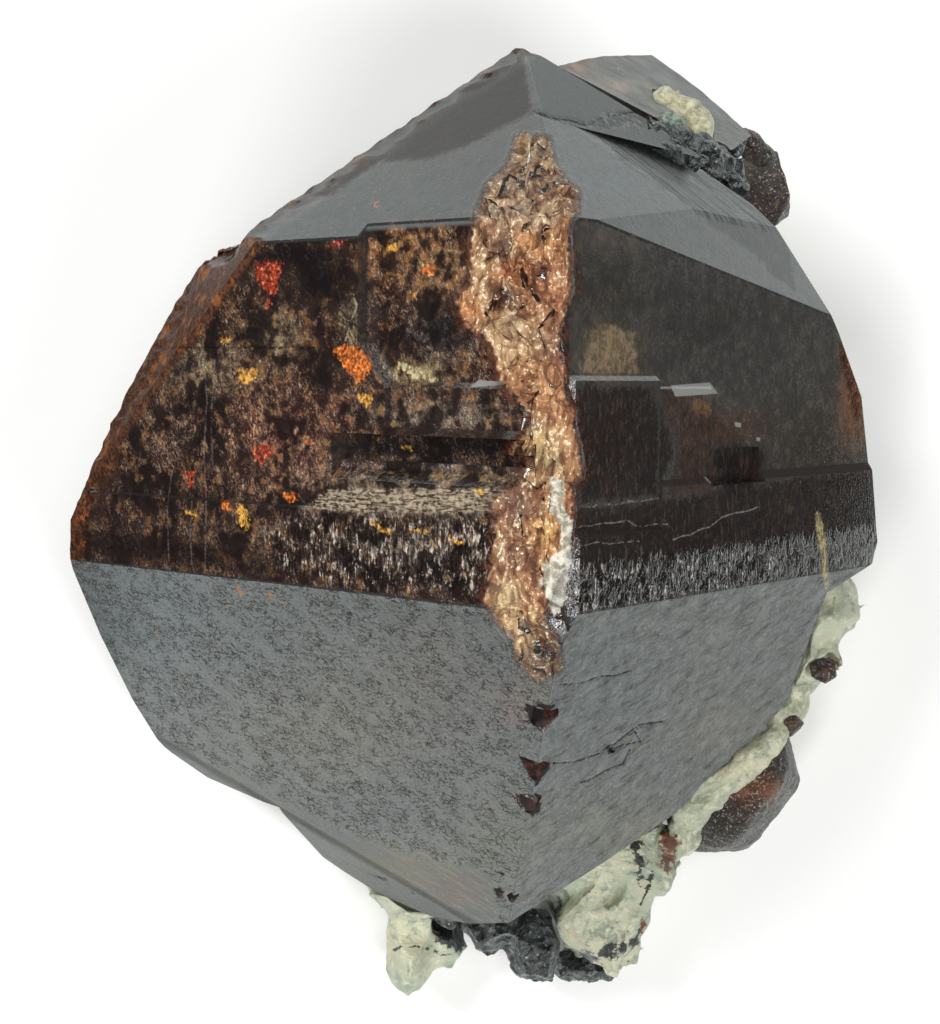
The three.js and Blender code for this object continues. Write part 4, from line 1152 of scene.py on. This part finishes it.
def brown_zircon_finish(colours):
    """Dark brown zircon with orange and grey patches, and pale specks of painted sparkle."""
    recipe = Recipe("brown zircon")
    place = recipe.place()
    cloud = recipe.noise(place, 0.55, 4.0, 0.6, 0.5)
    fine = recipe.noise(place, 2.6, 4.0, 0.7, 0.6)
    tint = recipe.painted("tint", "Color")
    colour = recipe.blend(recipe.step(cloud, 0.38, 0.60), recipe.blend(0.5, tint, tone(34, 28, 26)), tint)
    colour = recipe.blend(recipe.step(fine, 0.56, 0.68) * 0.7, colour, recipe.blend(0.4, tint, tone(200, 176, 140)))
    colour = recipe.blend(recipe.step(fine, 0.42, 0.32), colour, tone(28, 24, 22))
    # Pale grey specks: painted sparkle.
    colour = recipe.blend(recipe.step(recipe.noise(place, 7.0, 2.0), 0.59, 0.67) * 0.8, colour, tone(176, 172, 168))
    normal = recipe.bump(fine, 0.25)
    normal = recipe.bump(recipe.noise(place, 8.0, 3.0, 0.65), 0.05, 1.0, normal)
    rough = recipe.step(cloud, 0.3, 0.7) * 0.15 + 0.26
    shader = recipe.surface(Base_Color=colour, Roughness=rough, IOR=1.95, Normal=normal, Specular_IOR_Level=0.2)
    return recipe.done(shader)


def feldspar_finish(colours):
    """Greenish white feldspar with cream and pinkish patches, rust stains and black specks."""
    recipe = Recipe("feldspar")
    place = recipe.place()
    cloud = recipe.noise(place, 0.22, 4.0, 0.6, 0.3)
    warm = recipe.noise(place, 0.35, 3.0, 0.6, 0.8)
    fine = recipe.noise(place, 2.2, 4.0, 0.65, 0.4)
    colour = recipe.blend(recipe.step(cloud, 0.38, 0.62), tuple(colours.feldspar), tone(197, 196, 168))
    colour = recipe.blend(recipe.step(warm, 0.60, 0.75) * 0.8, colour, tone(196, 174, 148))
    colour = recipe.blend(recipe.step(warm * 0.5 + fine * 0.5, 0.50, 0.42) * 0.75, colour, tone(138, 150, 136))
    colour = recipe.blend(recipe.step(fine, 0.56, 0.68) * 0.6, colour, tone(226, 226, 204))
    specks = recipe.step(recipe.noise(place, 1.6, 3.0, 0.6, 0.6), 0.67, 0.71)
    colour = recipe.blend(specks * recipe.step(cloud, 0.45, 0.6), colour, tone(38, 36, 34))
    mottle = recipe.step(fine, 0.4, 0.6)
    cream = recipe.blend(mottle, tone(176, 166, 130), tone(222, 216, 182))
    colour = recipe.blend(recipe.painted("cream") * 0.75, colour, cream)
    glassy = recipe.blend(mottle, tone(70, 84, 80), tone(140, 158, 150))
    colour = recipe.blend(recipe.painted("glassy") * 0.85, colour, glassy)
    stain = recipe.painted("stain")
    broken = recipe.noise(place, 1.5, 3.0, 0.7) - 0.5
    colour = recipe.blend(recipe.step(stain + broken * 3.4, 0.0, 0.5), colour, tone(104, 62, 42))
    dark = recipe.painted("dark")
    colour = recipe.blend(recipe.step(dark + broken * 3.4, 0.1, 0.5), colour, tone(40, 42, 42))
    normal = recipe.bump(fine, 0.16)
    rough = recipe.step(fine, 0.3, 0.7) * 0.25 + 0.30
    milk = {"Subsurface Weight": 0.35, "Subsurface Scale": 0.001, "Subsurface Radius": (1.0, 0.9, 0.7)}
    return recipe.done(recipe.surface(Base_Color=colour, Roughness=rough, IOR=1.53, Normal=normal, **milk))


def mica_finish(colours):
    """Black flakes with grey-green sparkle."""
    recipe = Recipe("black mica")
    place = recipe.place()
    flakes = recipe.cells(place, 2.2, "F1", "Color")
    share = recipe.dot(flakes, (0.33, 0.33, 0.33))
    fine = recipe.noise(place, 4.0, 3.0, 0.6)
    colour = recipe.blend(recipe.step(share, 0.3, 0.9), tuple(colours.mica), tone(74, 80, 78))
    colour = recipe.blend(recipe.step(fine, 0.62, 0.72), colour, tone(176, 182, 174))
    normal = recipe.bump(share, 0.25)
    normal = recipe.bump(fine, 0.12, 1.0, normal)
    rough = recipe.step(fine, 0.3, 0.7) * 0.2 + 0.16
    return recipe.done(recipe.surface(Base_Color=colour, Roughness=rough, IOR=1.6, Normal=normal))


class OBJECT_OT_neighbour_crystal(bpy.types.Operator):
    """Shapes and colours the grey zircon behind the tip of the large one"""

    bl_idname = "zircon.neighbour_crystal"
    bl_label = "Neighbour crystal"

    def execute(self, context):
        piece = copy_of_solid("neighbour_zircon", "neighbour_crystal")
        refine(piece, lambda middles: np.full(len(middles), 0.4))
        weigh(piece, "all", np.ones(len(piece.data.vertices)))
        grains = {"noise_scale": 1.6, "noise_depth": 3}
        displace(piece, "neighbour waves", "CLOUDS", grains, 0.16, "all", 0.8)
        places = picture_places(millimetres(piece.data))
        paint_colours(piece, "tint", blended(places, NEIGHBOUR_TINTS, tone(72, 66, 56)))
        finish_piece(piece, ["neighbour_zircon"], "grey_zircon", grey_zircon_finish(context.scene.zircon_colours))
        return {"FINISHED"}


class OBJECT_OT_small_crystals(bpy.types.Operator):
    """Shapes and colours the four small brown zircons"""

    bl_idname = "zircon.small_crystals"
    bl_label = "Small brown crystals"

    def execute(self, context):
        finish = brown_zircon_finish(context.scene.zircon_colours)
        names = {
            "brown_zircon": "upper_brown_crystal",
            "lower_zircon": "lower_brown_crystal",
            "upper_grain_zircon": "upper_brown_grain",
            "lower_grain_zircon": "lower_brown_grain",
        }
        for node, name in names.items():
            piece = copy_of_solid(node, name)
            if name == "upper_brown_crystal":
                join_to(piece, rough_lumps("shoulder", BROWN_SHOULDER))
            size = 0.12 if "grain" in name else 0.3
            refine(piece, lambda middles: np.full(len(middles), size))
            soften(piece, {"upper_brown_crystal": 2, "lower_brown_crystal": 60}.get(name, 8))
            weigh(piece, "all", np.ones(len(piece.data.vertices)))
            grains = {"noise_scale": 2.5 * size, "noise_depth": 3}
            displace(piece, name + " chips", "CLOUDS", grains, 0.9 * size, "all", 0.8)
            places = picture_places(millimetres(piece.data))
            paint_colours(piece, "tint", blended(places, BROWN_TINTS, tone(52, 40, 33)))
            finish_piece(piece, [node], "brown_zircon", finish, 24)
        return {"FINISHED"}


STAINS = [
    [(658, 829), (681, 829), (678, 860), (664, 877), (658, 860)],
    [(636, 918), (648, 916), (648, 945), (640, 951)],
    [(830, 655), (842, 660), (838, 675), (828, 672)],
]
DARK_PATCHES = [
    [(625, 840), (645, 838), (645, 885), (632, 870)],
    [(427, 916), (469, 914), (469, 958), (440, 950)],
    [(630, 868), (645, 868), (644, 892), (634, 890)],
    [(542, 900), (566, 896), (560, 930), (546, 950)],
    [(556, 952), (600, 948), (640, 930), (650, 944), (600, 966), (560, 970)],
]
ROCK_CRACKS = [
    [(394, 950), (406, 946), (420, 947), (432, 951), (444, 956)],
    [(640, 905), (648, 890), (652, 872)],
    [(655, 800), (662, 818), (668, 830)],
]


def paint_feldspar(piece, cream=0.0, glassy=0.0):
    """Stores where rust stains and dark patches lie, and how cream or glassy grey the piece is."""
    places = picture_places(millimetres(piece.data))
    cracks = line_marks(places, ROCK_CRACKS, 3.5) * 2 - 1
    paint(piece, "stain", np.clip(depth_in_any(places, STAINS) / 12, -1, 1))
    paint(piece, "dark", np.clip(np.maximum(depth_in_any(places, DARK_PATCHES) / 12, cracks), -1, 1))
    paint(piece, "cream", np.full(len(places), cream))
    paint(piece, "glassy", np.full(len(places), glassy))


class OBJECT_OT_feldspar_rock(bpy.types.Operator):
    """Shapes and colours the feldspar bed and the loose feldspar grain"""

    bl_idname = "zircon.feldspar_rock"
    bl_label = "Feldspar"

    def execute(self, context):
        finish = feldspar_finish(context.scene.zircon_colours)
        spacing = context.scene.zircon_sizes.rock_spacing
        for node, name in {"feldspar_matrix": "feldspar_bed", "feldspar_grain": "feldspar_chip"}.items():
            piece = copy_of_solid(node, name)
            size = spacing if node == "feldspar_matrix" else 0.2
            refine(piece, lambda middles: np.full(len(middles), size))
            points = millimetres(piece.data)
            soften(piece, 5, 0.4)
            weigh(piece, "above", soft_step(points[:, 2], 0.1, 1.2))
            if name == "feldspar_chip":
                displace(piece, "swell", "CLOUDS", {"noise_scale": 5.0}, 0.5, "above", 0.0)
            lumps = {"noise_scale": 2.6, "noise_depth": 1}
            displace(piece, name + " lumps", "CLOUDS", lumps, 2.4 * size, "above", 0.72)
            crumbs = {"noise_scale": 0.9, "noise_depth": 2}
            displace(piece, name + " crumbs", "CLOUDS", crumbs, 0.9 * size, "above", 0.7)
            soften(piece, 1, 0.4)
            paint_feldspar(piece, 0.9 if name == "feldspar_chip" else 0.0)
            finish_piece(piece, [node], "feldspar", finish, 60)
        for name, lumps in {"feldspar_crust": CRUST, "white_grain": WHITE_GRAIN, "glassy_grain": GLASSY_GRAIN}.items():
            piece = rough_lumps(name, lumps)
            weigh(piece, "all", np.ones(len(piece.data.vertices)))
            grains = {"noise_scale": 1.2, "noise_depth": 3}
            displace(piece, name + " chips", "CLOUDS", grains, 0.8 if name == "feldspar_crust" else 0.4, "all", 0.55)
            paint_feldspar(piece, 0.25 if name == "feldspar_crust" else 0.0, float(name == "glassy_grain"))
            finish_piece(piece, [], "feldspar", finish, 60)
        return {"FINISHED"}


class OBJECT_OT_mica_flakes(bpy.types.Operator):
    """Shapes and colours the two clusters of black flakes"""

    bl_idname = "zircon.mica_flakes"
    bl_label = "Black mica"

    def execute(self, context):
        finish = mica_finish(context.scene.zircon_colours)
        for node, name in {"lower_mica": "lower_flakes", "upper_mica": "upper_flakes"}.items():
            piece = copy_of_solid(node, name)
            if name == "upper_flakes":
                join_to(piece, rough_lumps("crumbs", GAP_CRUMBS))
            refine(piece, lambda middles: np.full(len(middles), 0.28))
            soften(piece, 4, 0.4)
            weigh(piece, "all", soft_step(millimetres(piece.data)[:, 2], 0.1, 1.0))
            flakes = {"noise_scale": 0.9, "distance_metric": "DISTANCE"}
            displace(piece, name + " steps", "VORONOI", flakes, 0.45, "all", 0.8, (1.4, 0.6, 1))
            crumbs = {"noise_scale": 0.5, "noise_depth": 2}
            displace(piece, name + " crumbs", "CLOUDS", crumbs, 0.3, "all", 0.7)
            finish_piece(piece, [node], "black_mica", finish, 45)
        return {"FINISHED"}


def plain_finish(name, colour, roughness):
    """A pale, slightly mottled surface for the stage."""
    recipe = Recipe(name)
    place = recipe.place()
    cloud = recipe.noise(place, 0.02, 2.0)
    shade = tuple(value * 0.985 for value in colour[:3]) + (1.0,)
    base = recipe.blend(recipe.step(cloud, 0.3, 0.7), colour, shade)
    return recipe.done(recipe.surface(Base_Color=base, Roughness=roughness))


def add_lamp(name, place, aim, size, power, colour=(1, 1, 1)):
    """A square soft lamp at a place in millimetres, turned to a point."""
    bpy.ops.object.light_add(type="AREA", location=[value * MM for value in place])
    lamp = bpy.context.active_object
    lamp.name = name
    lamp.data.shape = "SQUARE"
    lamp.data.size = size * MM
    lamp.data.energy = power
    lamp.data.color = colour
    towards = Vector(aim) - Vector(place)
    lamp.rotation_mode = "QUATERNION"
    lamp.rotation_quaternion = towards.to_track_quat("-Z", "Y")


# White cards that only gloss sees: left, right, near and far edges in millimetres.
REFLECTOR_CARDS = {
    "lower_card": (-85, 80, -160, -18),
    "middle_card": (-32, 45, -18, 24),
    "upper_card": (-85, 80, 24, 160),
}


class OBJECT_OT_stage(bpy.types.Operator):
    """Sets the camera, the pale floor and the soft lamps"""

    bl_idname = "zircon.stage"
    bl_label = "Stage"

    def execute(self, context):
        bpy.ops.object.select_all(action="DESELECT")
        bpy.ops.object.camera_add(location=[value * MM for value in CAMERA_PLACE], rotation=(0, 0, 0))
        camera = context.active_object
        camera.data.sensor_width = 36
        camera.data.lens = 36 * FOCAL_PIXELS / PICTURE_SIZE[1]
        camera.data.clip_start = 0.005
        camera.data.clip_end = 20
        context.scene.camera = camera

        bpy.ops.mesh.primitive_plane_add(size=2.4, location=(0, 0, -0.00005))
        floor = context.active_object
        floor.name = "floor"
        floor.data.materials.append(plain_finish("pale floor", tone(246, 246, 244), 0.7))
        floor.visible_glossy = False

        white = plain_finish("white card", tone(238, 246, 244), 0.7)
        for name, (left, right, near, far) in REFLECTOR_CARDS.items():
            bpy.ops.mesh.primitive_plane_add(size=1, location=(0, 0, 0))
            card = context.active_object
            card.name = name
            card.scale = ((right - left) * MM, (far - near) * MM, 1)
            card.location = ((left + right) / 2 * MM, (near + far) / 2 * MM, -0.00002)
            bpy.ops.object.transform_apply(location=True, rotation=False, scale=True)
            card.data.materials.append(white)
            card.visible_camera = False
            card.visible_diffuse = False
            card.visible_transmission = False
            card.visible_shadow = False

        world = bpy.data.worlds.new("studio")
        world.use_nodes = True
        backdrop = world.node_tree.nodes["Background"]
        backdrop.inputs["Color"].default_value = (1, 1, 1, 1)
        backdrop.inputs["Strength"].default_value = 0.03
        context.scene.world = world
        context.scene.view_settings.view_transform = "Standard"

        add_lamp("upper left lamp", (-190, 170, 300), (0, 0, 10), 120, 0.84)
        add_lamp("lower right lamp", (200, -150, 310), (0, 0, 10), 120, 0.68)
        add_lamp("front lamp", (-120, -240, 260), (0, 0, 10), 100, 0.48)
        add_lamp("top lamp", (40, 30, 420), (0, 0, 10), 160, 0.60)
        return {"FINISHED"}


class VIEW3D_PT_zircon(bpy.types.Panel):
    """Lists the steps and the values that can be changed"""

    bl_label = "Rough zircon"
    bl_space_type = "VIEW_3D"
    bl_region_type = "UI"
    bl_category = "Zircon"

    def draw(self, context):
        layout = self.layout
        for group in (context.scene.zircon_sizes, context.scene.zircon_colours):
            for name in group.__annotations__:
                layout.prop(group, name)
        for step in STEPS:
            layout.operator(step.bl_idname)


STEPS = (
    OBJECT_OT_large_crystal,
    OBJECT_OT_neighbour_crystal,
    OBJECT_OT_small_crystals,
    OBJECT_OT_feldspar_rock,
    OBJECT_OT_mica_flakes,
    OBJECT_OT_stage,
)
CLASSES = (ZirconSizes, ZirconColours, *STEPS, VIEW3D_PT_zircon)


def register():
    for each in CLASSES:
        bpy.utils.register_class(each)
    bpy.types.Scene.zircon_sizes = PointerProperty(type=ZirconSizes)
    bpy.types.Scene.zircon_colours = PointerProperty(type=ZirconColours)


def unregister():
    del bpy.types.Scene.zircon_colours
    del bpy.types.Scene.zircon_sizes
    for each in reversed(CLASSES):
        bpy.utils.unregister_class(each)


def main():
    register()
    bpy.ops.zircon.large_crystal()
    bpy.ops.zircon.neighbour_crystal()
    bpy.ops.zircon.small_crystals()
    bpy.ops.zircon.feldspar_rock()
    bpy.ops.zircon.mica_flakes()
    bpy.ops.zircon.stage()


if __name__ == "__main__":
    main()
